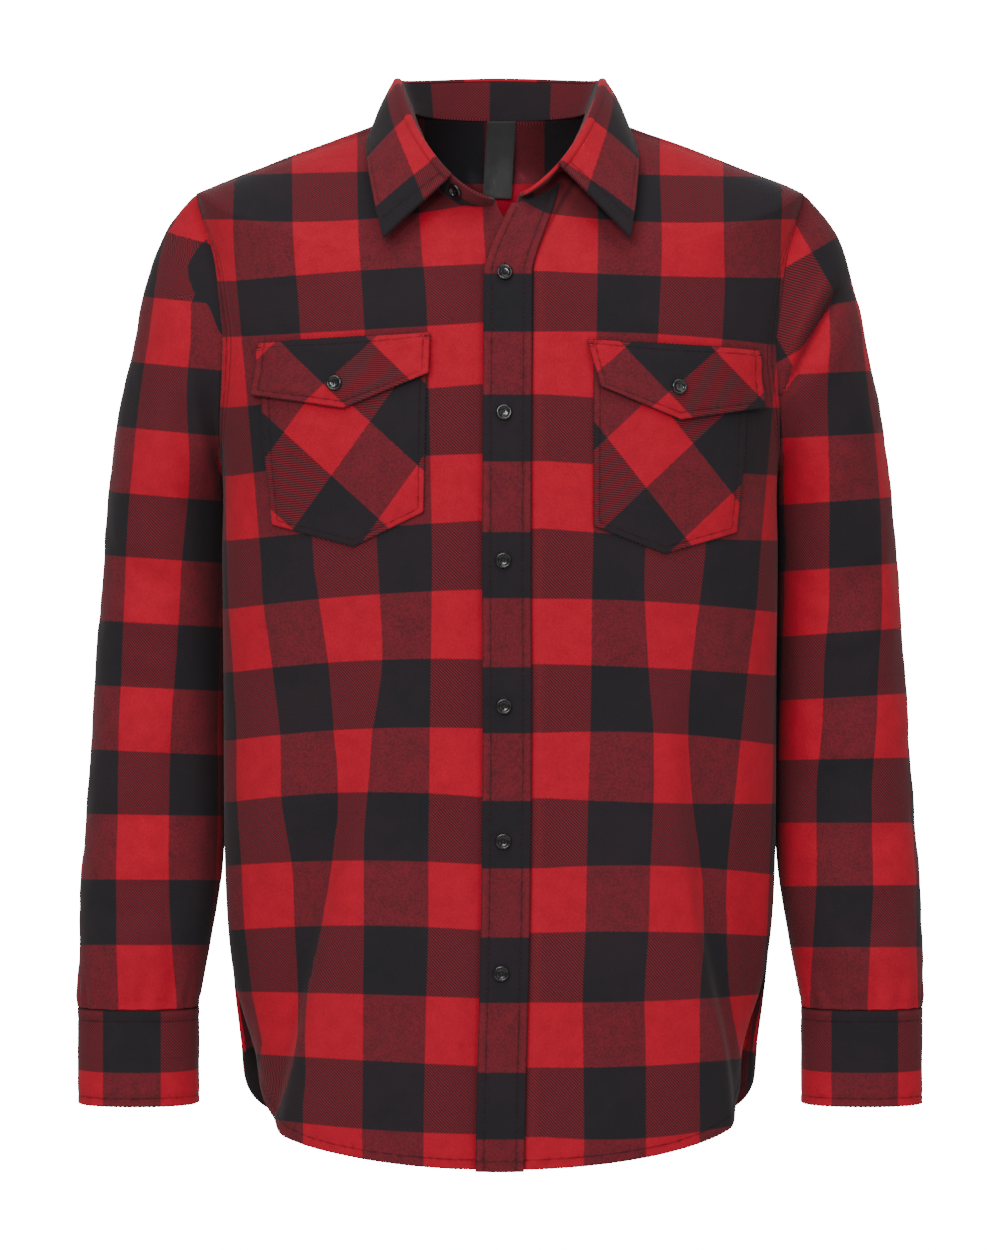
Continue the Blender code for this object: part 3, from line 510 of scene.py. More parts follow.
class Shader:
    def __init__(self, name, constants):
        self.material = bpy.data.materials.new(name)
        self.material.use_nodes = True
        self.tree = self.material.node_tree
        self.surface = self.tree.nodes["Principled BSDF"]
        for socket, value in constants.items():
            self.surface.inputs[socket].default_value = value

    def node(self, kind, settings=None, values=None, output=0):
        made = self.tree.nodes.new(kind)
        for name, value in (settings or {}).items():
            setattr(made, name, value)
        for name, value in (values or {}).items():
            self.feed(made.inputs[name], value)
        return Wire(self, made.outputs[output])

    def feed(self, socket, value):
        if isinstance(value, Wire):
            self.tree.links.new(value.socket, socket)
        else:
            socket.default_value = value

    def show(self, colour, roughness=None):
        self.feed(self.surface.inputs["Base Color"], colour)
        if roughness:
            self.feed(self.surface.inputs["Roughness"], roughness)

    def bump(self, strength, distance, height):
        values = {"Strength": strength, "Distance": distance, "Height": height}
        self.feed(self.surface.inputs["Normal"], self.node("ShaderNodeBump", None, values))

    def blend(self, share, low, high):
        # colours: low where share is 0
        made = self.tree.nodes.new("ShaderNodeMix")
        made.data_type = "RGBA"
        colours = [socket for socket in made.inputs if socket.type == "RGBA"]
        self.feed(made.inputs[0], share)
        for socket, value in zip(colours, (low, high)):
            self.feed(socket, value if isinstance(value, Wire) else (*value, 1))
        return Wire(self, next(socket for socket in made.outputs if socket.type == "RGBA"))

    def grain(self, size, detail=2.0):
        place = self.node("ShaderNodeTexCoord", output=3)
        return self.node("ShaderNodeTexNoise", None, {"Vector": place, "Scale": 1 / size, "Detail": detail})

    def pair(self, layer):
        # the two coordinates of one of the piece's own maps
        split = self.tree.nodes.new("ShaderNodeSeparateXYZ")
        self.feed(split.inputs[0], self.node("ShaderNodeUVMap", {"uv_map": layer}))
        return Wire(self, split.outputs[0]), Wire(self, split.outputs[1])


flannelLook = {
    "constants": {"Roughness": 0.93, "Sheen Weight": 0.06, "Sheen Roughness": 0.45,
                  "Sheen Tint": (1.0, 0.86, 0.86, 1), "Specular IOR Level": 0.18},
    "red": (0.42, 0.0060, 0.0215), "redDeep": (0.34, 0.0045, 0.0170),
    "black": (0.0100, 0.0106, 0.0132), "blackWorn": (0.0165, 0.0168, 0.0200),
    "redWeftMix": (0.150, 0.0130, 0.0205),      # black warp crossed by red weft: smooth
    "blackWeftRed": (0.165, 0.0125, 0.0200),    # red warp crossed by black weft: the diagonals show
    "blackWeftBlack": (0.034, 0.0095, 0.0130),
    "faded": (0.10, 0.03, 0.035), "fadedShare": 0.35,
    "twillPitch": 0.0023, "threadPitch": 0.0009, "lineBlur": 0.018, "lineShift": 0.024,
    # nap, mottles and clouds
    "fuzz": 0.0016, "mottle": 0.011, "cloud": 0.07,
    # painted shade: the colour that stitch channels, edge folds and puckers are darkened towards, and how
    # strongly; the welt colour is partly worn nap, partly a painted highlight on the raised welt
    "shade": (0.016, 0.0045, 0.006), "seamShade": 0.46, "edgeShade": 0.50, "besideShade": 0.22,
    "pucker": 0.0045, "welt": (0.44, 0.030, 0.042), "weltWearAndHighlight": 0.10, "weltAt": 2.4,
    "bump": 0.55, "bumpHeight": 0.00022,
}


def stripe(place, blur):
    # 1 over the first unit, 0 over the second, with a narrow blurred line between
    away = 0.25 - ((place * 0.5 + 0.25).fraction() - 0.5).size()
    return (away * (2 / blur) + 0.5).clamped()


def flannelFinish(name):
    look = flannelLook
    made = Shader(name, look["constants"])
    u, v = made.pair("checks")
    fuzz, mottle = made.grain(look["fuzz"], 3.0), made.grain(look["mottle"], 3.0)
    cloudy = made.grain(look["cloud"])
    shift = (fuzz - 0.5) * look["lineShift"]
    warpBlack = stripe(u + shift, look["lineBlur"])
    weftBlack = stripe(v + 1 + shift, look["lineBlur"])
    # the twill's diagonals, stronger in some places than in others
    across = (u * check["width"] + v * (-check["height"])) * (2 * math.pi / look["twillPitch"])
    twill = (across + mottle * 3.0).sine() * 0.5 + 0.5
    threads = (u * (2 * math.pi * check["width"] / look["threadPitch"])).sine() * 0.5 + 0.5
    strong = (mottle * 1.8 - 0.1).clamped()
    twillMask = ((twill - 0.5) * 3.0 * strong + 0.5 + (fuzz - 0.5) * 1.8).clamped()
    deep = ((mottle - 0.5) * 1.5 + (fuzz - 0.5) * 1.6 + 0.35).clamped()
    red = made.blend(deep, look["red"], look["redDeep"])
    black = made.blend((fuzz * 0.7 + twill * 0.1).clamped(), look["black"], look["blackWorn"])
    redWeft = made.blend(((fuzz - 0.5) * 1.6 + (mottle - 0.5) * 0.7 + twill * 0.16 + 0.16).clamped(),
                         look["redWeftMix"], look["blackWeftBlack"])
    blackWeft = made.blend(twillMask, look["blackWeftBlack"], look["blackWeftRed"])
    redRows, blackRows = made.blend(warpBlack, red, redWeft), made.blend(warpBlack, blackWeft, black)
    woven = made.blend(weftBlack, redRows, blackRows)
    fading = (cloudy * 0.5 + mottle * 0.2 - 0.2).clamped() * look["fadedShare"]
    clothTone = made.blend(fading, woven, look["faded"])
    # painted shade in the channel of each stitched line, in the fold of each edge and beside the puckers;
    # the welt between them lighter, partly worn nap and partly a painted highlight
    line, edge = (away.size() for away in made.pair("seams"))
    puckers = made.grain(look["pucker"])
    channel = (1.25 - line * 1.4 + (fuzz - 0.5) * 0.7).clamped() * (puckers * 1.8 - 0.1).clamped()
    fold = (1.1 - edge + (fuzz - 0.5) * 0.5).clamped()
    beside = (1.2 - line * 0.22).clamped() * (puckers * 2.4 - 0.9).clamped()
    # painted shade: channels, edge folds and puckers darkened towards the shade colour
    shade = (channel * look["seamShade"] + fold * look["edgeShade"] + beside * look["besideShade"]).clamped()
    # the welt lightened: partly worn nap, partly a painted highlight
    welt = (1.0 - (edge - look["weltAt"]).size() * 0.5).clamped() * (fuzz * 1.2).clamped() * look["weltWearAndHighlight"]
    clothTone = made.blend(welt * (1 - warpBlack * weftBlack), clothTone, look["welt"])
    made.show(colour=made.blend(shade, clothTone, look["shade"]), roughness=0.88 + fuzz * 0.1)
    made.bump(look["bump"], look["bumpHeight"], twill * 0.35 + threads * 0.12 + fuzz * 0.9 + mottle * 0.8
              - channel * 2.2 + puckers * beside * 1.5)
    return made.material


threadLook = {"roughness": 0.7, "dark": (0.009, 0.004, 0.005), "light": (0.024, 0.007, 0.008),
              "twist": 0.0006}
labelLook = {"constants": {"Roughness": 0.6, "Sheen Weight": 0.1}, "dark": (0.010, 0.010, 0.011),
             "light": (0.028, 0.028, 0.030), "rows": 160, "columns": 60, "cloud": 0.012}
buttonLook = {"constants": {"Specular IOR Level": 0.5, "Coat Weight": 0.2}, "dark": (0.003, 0.003, 0.0035),
              "light": (0.008, 0.0075, 0.008), "cloud": 0.004}


def threadFinish():
    made = Shader("darkThread", {"Roughness": threadLook["roughness"]})
    twisted = made.grain(threadLook["twist"], 1.0)
    made.show(colour=made.blend(twisted, threadLook["dark"], threadLook["light"]))
    return made.material


def labelFinish():
    made = Shader("wovenLabel", labelLook["constants"])
    columns, rows = ((place * (2 * math.pi * labelLook[count])).sine() * 0.5 + 0.5
                     for place, count in zip(made.pair("checks"), ("columns", "rows")))
    shade = (rows * 0.35 + made.grain(labelLook["cloud"]) * 0.5 + columns * 0.1).clamped()
    made.show(colour=made.blend(shade, labelLook["dark"], labelLook["light"]))
    made.bump(0.5, 0.0001, rows + columns * 0.5)
    return made.material


def buttonFinish():
    made = Shader("buttonResin", buttonLook["constants"])
    cloudy = made.grain(buttonLook["cloud"], 3.0)
    colour = made.blend(cloudy, buttonLook["dark"], buttonLook["light"])
    made.show(colour, roughness=0.10 + cloudy * 0.10)
    return made.material


finishes = {
    "flannel": flannelFinish("brushedFlannel"),
    "flannel_dark": flannelFinish("doubledFlannel"),
    "thread": threadFinish(),
    "label": labelFinish(),
    "button": buttonFinish(),
}

# cloth
surfaces, grids = {}, {}
words = {-1: "right", 1: "left"}            # the wearer's sides
farOff = 40                                 # millimetres from any seam, where nothing is shaded
panelWall = 0.0012


def meshOf(bm, name):
    mesh = bpy.data.meshes.new(name)
    bm.to_mesh(mesh)
    bm.free()
    return mesh


def outward(bm, axis):
    total = 0.0
    for face in bm.faces:
        centre = face.calc_center_median()
        away = Vector((centre.x - axis[0], centre.y - axis[1], 0)).normalized()
        total += face.normal.dot(away) * face.calc_area()
    return total > 0


def addPiece(name, mesh, finish, nodes=()):
    thing = bpy.data.objects.new(name, mesh)
    mesh.materials.clear()
    mesh.materials.append(finishes[finish])
    bpy.context.scene.collection.objects.link(thing)
    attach(thing, "root")
    if nodes:
        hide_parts(*nodes)
    return thing


def cloth(name, node, finish, columns, rows, form, wall, checks, relief, axis=(0, 0),
          offset=-1, closed=False, rim=0.0, seam=None):
    # a wall of cloth over a grid, faced away from the upright line through axis; seam gives the
    # millimetres from a stitched line and from an edge, along which the finish paints shade
    bm = bmesh.new()
    bmesh.ops.create_grid(bm, x_segments=len(columns) - 1, y_segments=len(rows) - 1, size=1)
    spots = {}
    for vert in bm.verts:
        i = round((vert.co.x + 1) / 2 * (len(columns) - 1))
        j = round((vert.co.y + 1) / 2 * (len(rows) - 1))
        spots[i, j] = vert
        vert.co = form(columns[i], rows[j])
    bm.normal_update()
    if not outward(bm, axis):
        bmesh.ops.reverse_faces(bm, faces=bm.faces)
        bm.normal_update()
    moves = {}
    for (i, j), vert in spots.items():
        normal = vert.normal
        if closed and i in (0, len(columns) - 1):
            normal = (spots[0, j].normal + spots[len(columns) - 1, j].normal).normalized()
        moves[vert] = normal * relief(columns[i], rows[j], vert.co)
    for vert, move in moves.items():
        vert.co += move
    grid = [[spots[i, j].co.copy() for i in range(len(columns))] for j in range(len(rows))]
    places = checks(grid)
    for layer in ("checks", "seams"):
        bm.loops.layers.uv.new(layer)
    checkMap, seamMap = (bm.loops.layers.uv[layer] for layer in ("checks", "seams"))
    for (i, j), vert in spots.items():
        away = seam(columns[i], rows[j], vert.co) if seam else (farOff, farOff)
        for loop in vert.link_loops:
            loop[checkMap].uv, loop[seamMap].uv = places[j][i], away
    if closed:
        bmesh.ops.remove_doubles(bm, verts=bm.verts, dist=0.00001)
    bm.normal_update()
    surfaces[name] = (BVHTree.FromBMesh(bm), wall * (offset + 1) / 2)
    grids[name] = grid
    mesh = meshOf(bm, name)
    mesh.shade_smooth()
    thing = addPiece(name, mesh, finish, [node])
    shell = thing.modifiers.new("wall", "SOLIDIFY")
    shell.thickness, shell.offset = wall, offset
    shell.use_quality_normals = True
    if rim:
        soft = thing.modifiers.new("rim", "BEVEL")
        soft.width, soft.segments, soft.limit_method, soft.angle_limit = rim, 2, "ANGLE", math.radians(50)
    return thing


# stitches
def stitchMesh():
    bm = bmesh.new()
    bmesh.ops.create_uvsphere(bm, u_segments=6, v_segments=4, radius=1)
    bmesh.ops.rotate(bm, verts=bm.verts, matrix=Matrix.Rotation(math.radians(90), 3, "Y"))
    return meshOf(bm, "stitch")


stitching = {"length": 0.0027, "pitch": 0.0036, "width": 0.00042, "height": 0.00030, "proud": 0.00005}
oneStitch = stitchMesh()
seams = {}


def resampled(path, pitch):
    gone = lengths(path)
    count = max(int(gone[-1] / pitch), 1)
    found, k = [], 0
    for n in range(count + 1):
        want = gone[-1] * n / count
        while k < len(path) - 2 and gone[k + 1] < want:
            k += 1
        found.append(path[k].lerp(path[k + 1], min((want - gone[k]) / (gone[k + 1] - gone[k] or 1e-9), 1)))
    return found


def stitchRow(host, path, inset=0.0, pitch=stitching["pitch"], length=stitching["length"], wide=1.0):
    # a row of stitches beside a path on a piece; inset is to the left of the path seen from outside
    tree, lift = surfaces[host]
    spots = resampled([Vector(p) for p in path], pitch)
    for a, b in zip(spots, spots[1:]):
        middle, along = (a + b) / 2, (b - a).normalized()
        aside = tree.find_nearest(middle)[1].cross(along).normalized()
        place, normal, _, _ = tree.find_nearest(middle + aside * inset)
        along = (along - normal * along.dot(normal)).normalized()
        turn = Matrix((along, normal.cross(along), normal)).transposed()
        size = Matrix.Diagonal((length / 2, stitching["width"] * wide / 2, stitching["height"] / 2))
        place = Matrix.Translation(place + normal * (lift + stitching["proud"]))
        seams.setdefault(host, []).append(place @ (turn @ size).to_4x4())


def makeStitches(host):
    bm = bmesh.new()
    for matrix in seams[host]:
        copy = oneStitch.copy()
        copy.transform(matrix)
        bm.from_mesh(copy)
        bpy.data.meshes.remove(copy)
    mesh = meshOf(bm, host + "Stitches")
    mesh.shade_smooth()
    return addPiece(mesh.name, mesh, "thread")


print("stage: fronts")
bodyRows = steps(0.0, 0.024, 16) + steps(0.024, underarm, 118)
armRows = [mix(underarm, shoulder, (1 - math.cos(math.pi * k / 60)) / 2) for k in range(60)]
frontRows = bodyRows + armRows + steps(shoulder, neck, 27) + [neck]
# the last two are the metres that one unit of level rises, in the middle and at the sides
hem = {"width": 0.0068, "rise": 0.0005, "groove": 0.0004, "turned": 0.03,
       "levelHeight": 0.94, "sideHeight": 0.47}
lapUnder = {"width": 0.0045, "depth": 0.0014, "low": 0.0004}    # how a panel reaches under its neighbour
armSeam = {"stitch": 0.0070, "width": 0.0075, "rise": 0.0009, "groove": 0.0006, "lines": (5.8, 10.9),
           "start": 0.002}


def groove(distance, at, half, depth):
    return -depth * bell(distance - at, half)


def hemHeight(level, point):
    # metres above the hem's edge
    return level * mix(hem["levelHeight"], hem["sideHeight"], smooth((abs(point.x) - 0.12) / 0.07))


def hemRelief(level, point):
    # the turned hem stands a little proud, and puckers along its stitches
    if level > hem["turned"]:
        return 0.0
    up = hemHeight(level, point)
    pucker = 0.0004 * ripple(point.x, point.y, 0, 0.009, 1) * bell(up - 0.006, 0.006)
    return (hem["rise"] * (1 - smooth((up - hem["width"]) / 0.001)) + pucker
            + groove(up, hem["width"] - 0.0008, 0.0009, hem["groove"]))


def hemAway(level, point):
    return (hemHeight(level, point) - hem["width"]) / mm


def edgeSeam(away, point):
    # a seam's allowance under topstitching: the cloth is proud beside the edge and dips at the stitches
    pucker = 0.00045 * ripple(point.x, point.y, point.z, 0.011, 5) * bell(away, 0.012)
    return (armSeam["rise"] * (1 - smooth((away - armSeam["width"]) / 0.0022)) + pucker
            + groove(away, 0.0, 0.0012, armSeam["groove"]) + groove(away, armSeam["stitch"], 0.0011, 0.0009))


def panelSeam(level, point, beside, away):
    # millimetres from the hem's stitches, or from the two lines along the armhole
    if level < 0.2:
        return hemAway(level, point), farOff
    if beside and level > underarm + 0.004:
        return tuple(away() / mm - line for line in armSeam["lines"])
    return farOff, farOff


def atArmhole(level):
    return smooth((level - underarm + 0.02) / 0.02) * (1 - smooth((level - shoulder - 0.004) / 0.006))


def alongArmhole(grid, rows, pick, top):
    # a panel's points along the armhole, up to a level
    return [row[pick] for row, level in zip(grid, rows) if underarm + armSeam["start"] < level < top]


def tucked(side, turn, level, share, direction):
    # beyond a panel's edge: under its neighbour, or turned in as the armhole's allowance
    edge, normal = torso(side, turn, level), torsoNormal(side, turn, level)
    along = (torso(side, turn + direction * 0.02, level) - edge).normalized()
    flat = edge + along * lapUnder["width"] * share - normal * lapUnder["depth"]
    turned = edge + along * 0.0004 - normal * (0.0006 + 0.0035 * share)
    return flat.lerp(turned, atArmhole(level))


def frontPoint(side, column, level):
    turns = frontTurns(side, level)
    if column >= 2:
        turn = spreadTurn(turns[2], min(column, 3) - 2, level, False)
    else:
        i = int(column)
        turn = mix(turns[i], turns[i + 1], column - i)
    point = torso(side, turn, level)
    if column > 3:                          # the strip that lies under the yoke or the back
        point = tucked(side, turn, level, column - 3, 1)
    if side < 0:
        under = smooth((point.x - freeEdgeX(point.z) + opening["behindStart"]) / opening["behindWidth"])
        point -= opening["behind"] * under * torsoNormal(side, turn, level)
    return point


def makeFront(side):
    name, node = f"{words[side]}Front", f"front_{words[side]}"
    columns = steps(0, 1, 3) + steps(1, 2, 4) + steps(2, 2.86, 46) + steps(2.86, 3, 16) + [3, 3.2, 4]

    def edgeAway(column, level):
        # distance to the front's outer edge, along its row
        turn = spreadTurn(frontTurns(side, level)[2], column - 2, level, False)
        return (torso(side, turn, level) - torso(side, sideTurns(level, False)[0], level)).length

    def relief(column, level, point):
        total = frontRelief(point) + hemRelief(level, point)
        if 2.8 < column <= 3 and level > underarm:
            total += edgeSeam(edgeAway(column, level), point) * smooth((level - underarm) / 0.02)
        return total - (lapUnder["low"] if column > 3 else 0)

    def seam(column, level, point):
        line, second = panelSeam(level, point, 2.5 < column <= 3, lambda: edgeAway(column, level))
        if side > 0 and column < 2.5:       # the shaded line beside the placket
            second = (point.x - freeEdgeX(point.z) - placket["width"]) / mm * 0.40
        return line, second

    thing = cloth(name, node, "flannel", columns, frontRows, partial(frontPoint, side), panelWall,
                  frontChecks(side), relief, seam=seam)
    grid = grids[name]
    stitchRow(name, grid[0][:-2], -side * hem["width"])
    stitchRow(name, alongArmhole(grid, frontRows, columns.index(3), shoulder), side * armSeam["stitch"])
    makeStitches(name)


for side in (-1, 1):
    makeFront(side)

print("stage: back and yoke")
back = {
    # depth, half width and path in millimetres, x and z seen from behind
    "creases": (
        (2.4, 12, ((-150, -150), (-120, -230), (-104, -330), (-96, -420))),
        (2.2, 12, ((146, -150), (122, -235), (104, -320), (92, -430))),
        (-2.2, 12, ((-110, -180), (-84, -260), (-70, -360))),
        (-2.0, 12, ((108, -180), (86, -270), (66, -350))),
        (3.2, 15, ((-60, -330), (-66, -440), (-80, -560), (-92, -680))),
        (3.4, 15, ((64, -350), (74, -460), (84, -580), (98, -700))),
        (-2.6, 16, ((-30, -400), (-34, -520), (-40, -640))),
        (-2.8, 16, ((24, -420), (34, -540), (44, -660))),
        (2.4, 13, ((-140, -380), (-146, -500), (-150, -620))),
        (2.6, 13, ((138, -400), (146, -520), (156, -640))),
        (2.0, 12, ((0, -480), (-4, -580), (2, -700))),
        (-1.8, 10, ((-172, -300), (-168, -400), (-174, -520))),
        (-1.8, 10, ((172, -300), (170, -420), (176, -540))),
        (1.4, 9, ((-60, -120), (-30, -150), (0, -158), (34, -148), (64, -122))),
    ),
    "waves": ((1.3, 0.55, 55, 11), (0.5, 0.7, 22, 13)),
    "top": backSeamLevel + 0.008,
    "checkStart": 0.012, "checkWidth": 0.0464,
}


def mirrored(half):
    return [-value for value in reversed(half[1:])] + half


def backPoint(column, level):
    side, far = sideOf(column), abs(column)
    turn = spreadTurn(math.pi, min(far, 1), level, True)
    point = torso(side, turn, level)
    if far > 1:
        point = tucked(side, turn, level, far - 1, -1)
    elif level > backSeamLevel:
        point -= torsoNormal(side, turn, level) * lapUnder["depth"] * smooth((level - backSeamLevel) / 0.003)
    return point


def backRelief(point):
    x, z = point.x * 1000, point.z * 1000
    total = creaseAt(back["creases"], x, z) + uneven(back["waves"], x, 5, z)
    loose = smooth((-0.112 - point.z) / 0.03) * smooth((0.21 - abs(point.x)) / 0.03 + 0.2)
    return total * (0.3 + 0.7 * loose) * mm


def backColumn(along):
    return 1 + (along + back["checkStart"]) / back["checkWidth"]


def makeBack():
    half = steps(0, 0.9, 46) + steps(0.9, 1, 14) + [1, 1.2, 2]
    columns = mirrored(half)
    rows = [level for level in frontRows if level < backSeamLevel]
    rows += [backSeamLevel, mix(backSeamLevel, back["top"], 0.5), back["top"]]

    def edgeAway(column, level, point):
        return (torso(sideOf(column), sideTurns(level, True)[0], level) - point).length

    def relief(column, level, point):
        total = backRelief(point) + hemRelief(level, point)
        if 0.85 < abs(column) <= 1 and level > underarm:
            total += edgeSeam(edgeAway(column, level, point), point) * smooth((level - underarm) / 0.02)
        return total - (lapUnder["low"] if abs(column) > 1 or level > backSeamLevel else 0)

    def rowChecks(row):
        gone, line = lengths(row), []
        for point, far in zip(row, gone):
            v = mix(sideWeft(-1, point.z), sideWeft(1, point.z), smooth((point.x / 0.2 + 1) / 2))
            line.append((backColumn(far - gone[len(half) - 1]), v))
        return line

    def seam(column, level, point):
        return panelSeam(level, point, 0.8 < abs(column) <= 1, lambda: edgeAway(column, level, point))

    thing = cloth("backPanel", "back", "flannel", columns, rows, backPoint, panelWall, rowwise(rowChecks),
                  relief, seam=seam)
    grid = grids["backPanel"]
    stitchRow("backPanel", grid[0][2:-2], hem["width"])
    for pick, sign in ((2, -1), (-3, 1)):
        stitchRow("backPanel", alongArmhole(grid, rows, pick, backSeamLevel), sign * armSeam["stitch"])
    makeStitches("backPanel")


yoke = {"stitch": 0.0055, "sideStitch": 0.0045, "rise": 0.0007, "sideLength": 0.09,
        "waves": ((0.0007, 1, 0.035, 17),),
        # how far down the check's first line lies, and x and z along the shoulder
        "firstLine": 0.0557, "frontRow": 0.0575,
        "ridge": ((0, 0.003), (0.066, 0.003), (0.145, -0.0275), (0.228, -0.061))}


def yokeOutline(way):
    if way <= yokeCorner:
        return spreadTurn(math.pi, way / yokeCorner, backSeamLevel, True), backSeamLevel
    level = armholeLevel(yokeStep * (1 - way) / (1 - yokeCorner))
    return armholeTurn(level, True), level


def yokePoint(column, row):
    way = abs(column)
    turn, level = yokeOutline(way)
    neckTurn = (mix(math.pi, neckCornerTurn, way / yokeCorner) if way <= yokeCorner
                else mix(neckCornerTurn, yokeFrontTurn, (way - yokeCorner) / (1 - yokeCorner)))
    return torso(sideOf(column), mix(turn, neckTurn, row), mix(level, neck, row))


def ridgeHeight(x):
    for (near, high), (far, low) in zip(yoke["ridge"], yoke["ridge"][1:]):
        if x < far:
            break
    return mix(high, low, (x - near) / (far - near))


def makeYoke():
    columns = mirrored(steps(0, yokeCorner, 34) + steps(yokeCorner, 1, 22) + [1])
    rows = steps(0, 0.12, 8) + steps(0.12, 1, 26) + [1]

    def edgeDistance(column, point):
        turn, level = yokeOutline(abs(column))
        away = (point - torso(sideOf(column), turn, level)).length
        if abs(column) > yokeCorner:
            away = min(away, (1 - abs(column)) / (1 - yokeCorner) * yoke["sideLength"])
        return away

    def relief(column, row, point):
        away = edgeDistance(column, point)
        total = yoke["rise"] * (1 - smooth((away - yoke["stitch"]) / 0.002)) + uneven(yoke["waves"], *point)
        return total + groove(away, yoke["stitch"], 0.001, 0.0004)

    def checkAt(i, j, point):
        far, first = abs(point.x), yoke["firstLine"]
        down = (point.y - 0.060) * 0.9 + (ridgeHeight(far) - point.z) * 0.75
        v = 2 + (down - first) / (check["height"] if down > first else yoke["frontRow"])
        level = 2 + (0.0045 + (0.003 - point.z) * 1.0987 - first) / check["height"]
        v = mix(v, level, smooth((point.y - 0.01) / 0.05))
        if point.y > 0.01 and far < 0.075:  # behind, the black row runs on to the neck
            v = max(v, 1.02)
        return backColumn(point.x * (1 + 0.06 * smooth((far - 0.06) / 0.05))), max(v, 0.06 + 0.02 * v)

    def seam(column, row, point):
        away = edgeDistance(column, point)
        return (away - yoke["stitch"]) / mm, away / mm

    thing = cloth("shoulderYoke", "yoke", "flannel", columns, rows, yokePoint, panelWall, pointwise(checkAt),
                  relief, seam=seam)
    grid = grids["shoulderYoke"]
    stitchRow("shoulderYoke", grid[0], yoke["stitch"])
    stitchRow("shoulderYoke", [row[0] for row in grid], -yoke["sideStitch"])
    stitchRow("shoulderYoke", [row[-1] for row in grid], yoke["sideStitch"])
    makeStitches("shoulderYoke")


makeBack()
makeYoke()

print("stage: sleeves and cuffs")
SleeveRing = namedtuple("SleeveRing", "place xOut zOut xIn zIn yMid halfDepth squareness cap")
# from the armhole down to the cuff; cap is how much of the armhole's own curve a ring takes
sleeveRings = tuple(SleeveRing(k, *row) for k, row in enumerate((
    (0.2280, -0.0610, 0.2085, -0.2730, 0.003, 0.0670, 2.0, 1.00),
    (0.2400, -0.0722, 0.2104, -0.2748, 0.005, 0.0690, 2.0, 0.70),
    (0.2556, -0.0950, 0.2112, -0.2775, 0.008, 0.0700, 2.0, 0.42),
    (0.2700, -0.1400, 0.2112, -0.2835, 0.013, 0.0710, 2.1, 0.18),
    (0.2895, -0.2312, 0.2106, -0.2960, 0.020, 0.0700, 2.2, 0.04),
    (0.2976, -0.2954, 0.2102, -0.3180, 0.023, 0.0670, 2.2, 0.00),
    (0.3050, -0.3898, 0.2098, -0.4000, 0.023, 0.0610, 2.2, 0.00),
    (0.3118, -0.4955, 0.2096, -0.4980, 0.018, 0.0560, 2.2, 0.00),
    (0.3168, -0.5700, 0.2106, -0.5680, 0.010, 0.0520, 2.2, 0.00),
    (0.3185, -0.6250, 0.2178, -0.6200, 0.003, 0.0490, 2.2, 0.00),
    (0.3188, -0.6640, 0.2252, -0.6620, -0.004, 0.0358, 2.3, 0.00),
)))
cuff = {"x": 0.2725, "y": -0.004, "halfWidth": 0.0458, "halfDepth": 0.0350, "top": -0.6738, "bottom": -0.7455,
        "squareness": 2.3, "lap": math.radians(26), "start": math.radians(122), "wall": 0.0020,
        "lapGap": 0.0004, "tuckGap": 0.0006, "tuck": 0.0055, "gather": 0.0002,
        "height": 0.07, "lines": (0.0060, 0.0618), "topStitch": 0.0084, "endStitch": 0.0055,
        # usual and seen width of the centre column, seen x of its inner edge, and z of a weft line
        "column": 43.5, "shown": {-1: 42, 1: 48.5}, "target": {-1: 269.5, 1: 265.5}, "weftZ": -0.7199}
# seen z and x of the middle of the sleeve's centre column, and the width it shows
sleeveCentre = {
    -1: ((-658, -256, 41), (-622, -258, 39), (-574.5, -260, 37), (-502, -260, 37), (-455, -259, 38),
         (-411.5, -256.5, 40), (-368, -254, 41), (-342.5, -253, 42), (-295.5, -249, 45), (-266.5, -247, 43),
         (-219, -246, 38), (-172, -241.5, 36), (-125, -240, 34), (-99.5, -238.5, 34)),
    1: ((-658, 245, 43), (-622, 246.5, 42), (-574.5, 250, 40), (-502, 250.5, 39), (-455, 255, 39),
        (-411.5, 257, 40), (-368, 261, 41), (-342.5, 261, 42), (-295.5, 261, 43), (-244.5, 258.5, 42),
        (-219, 256, 40), (-172, 254, 38), (-125, 249, 36), (-99.5, 246.5, 34)),
}
sleeveCheck = {"column": 42, "step": 47, "nearer": 1.025, "halfWidth": 0.0455, "innerX": 0.209,
               "start": {-1: 1.5, 1: 0.5}}
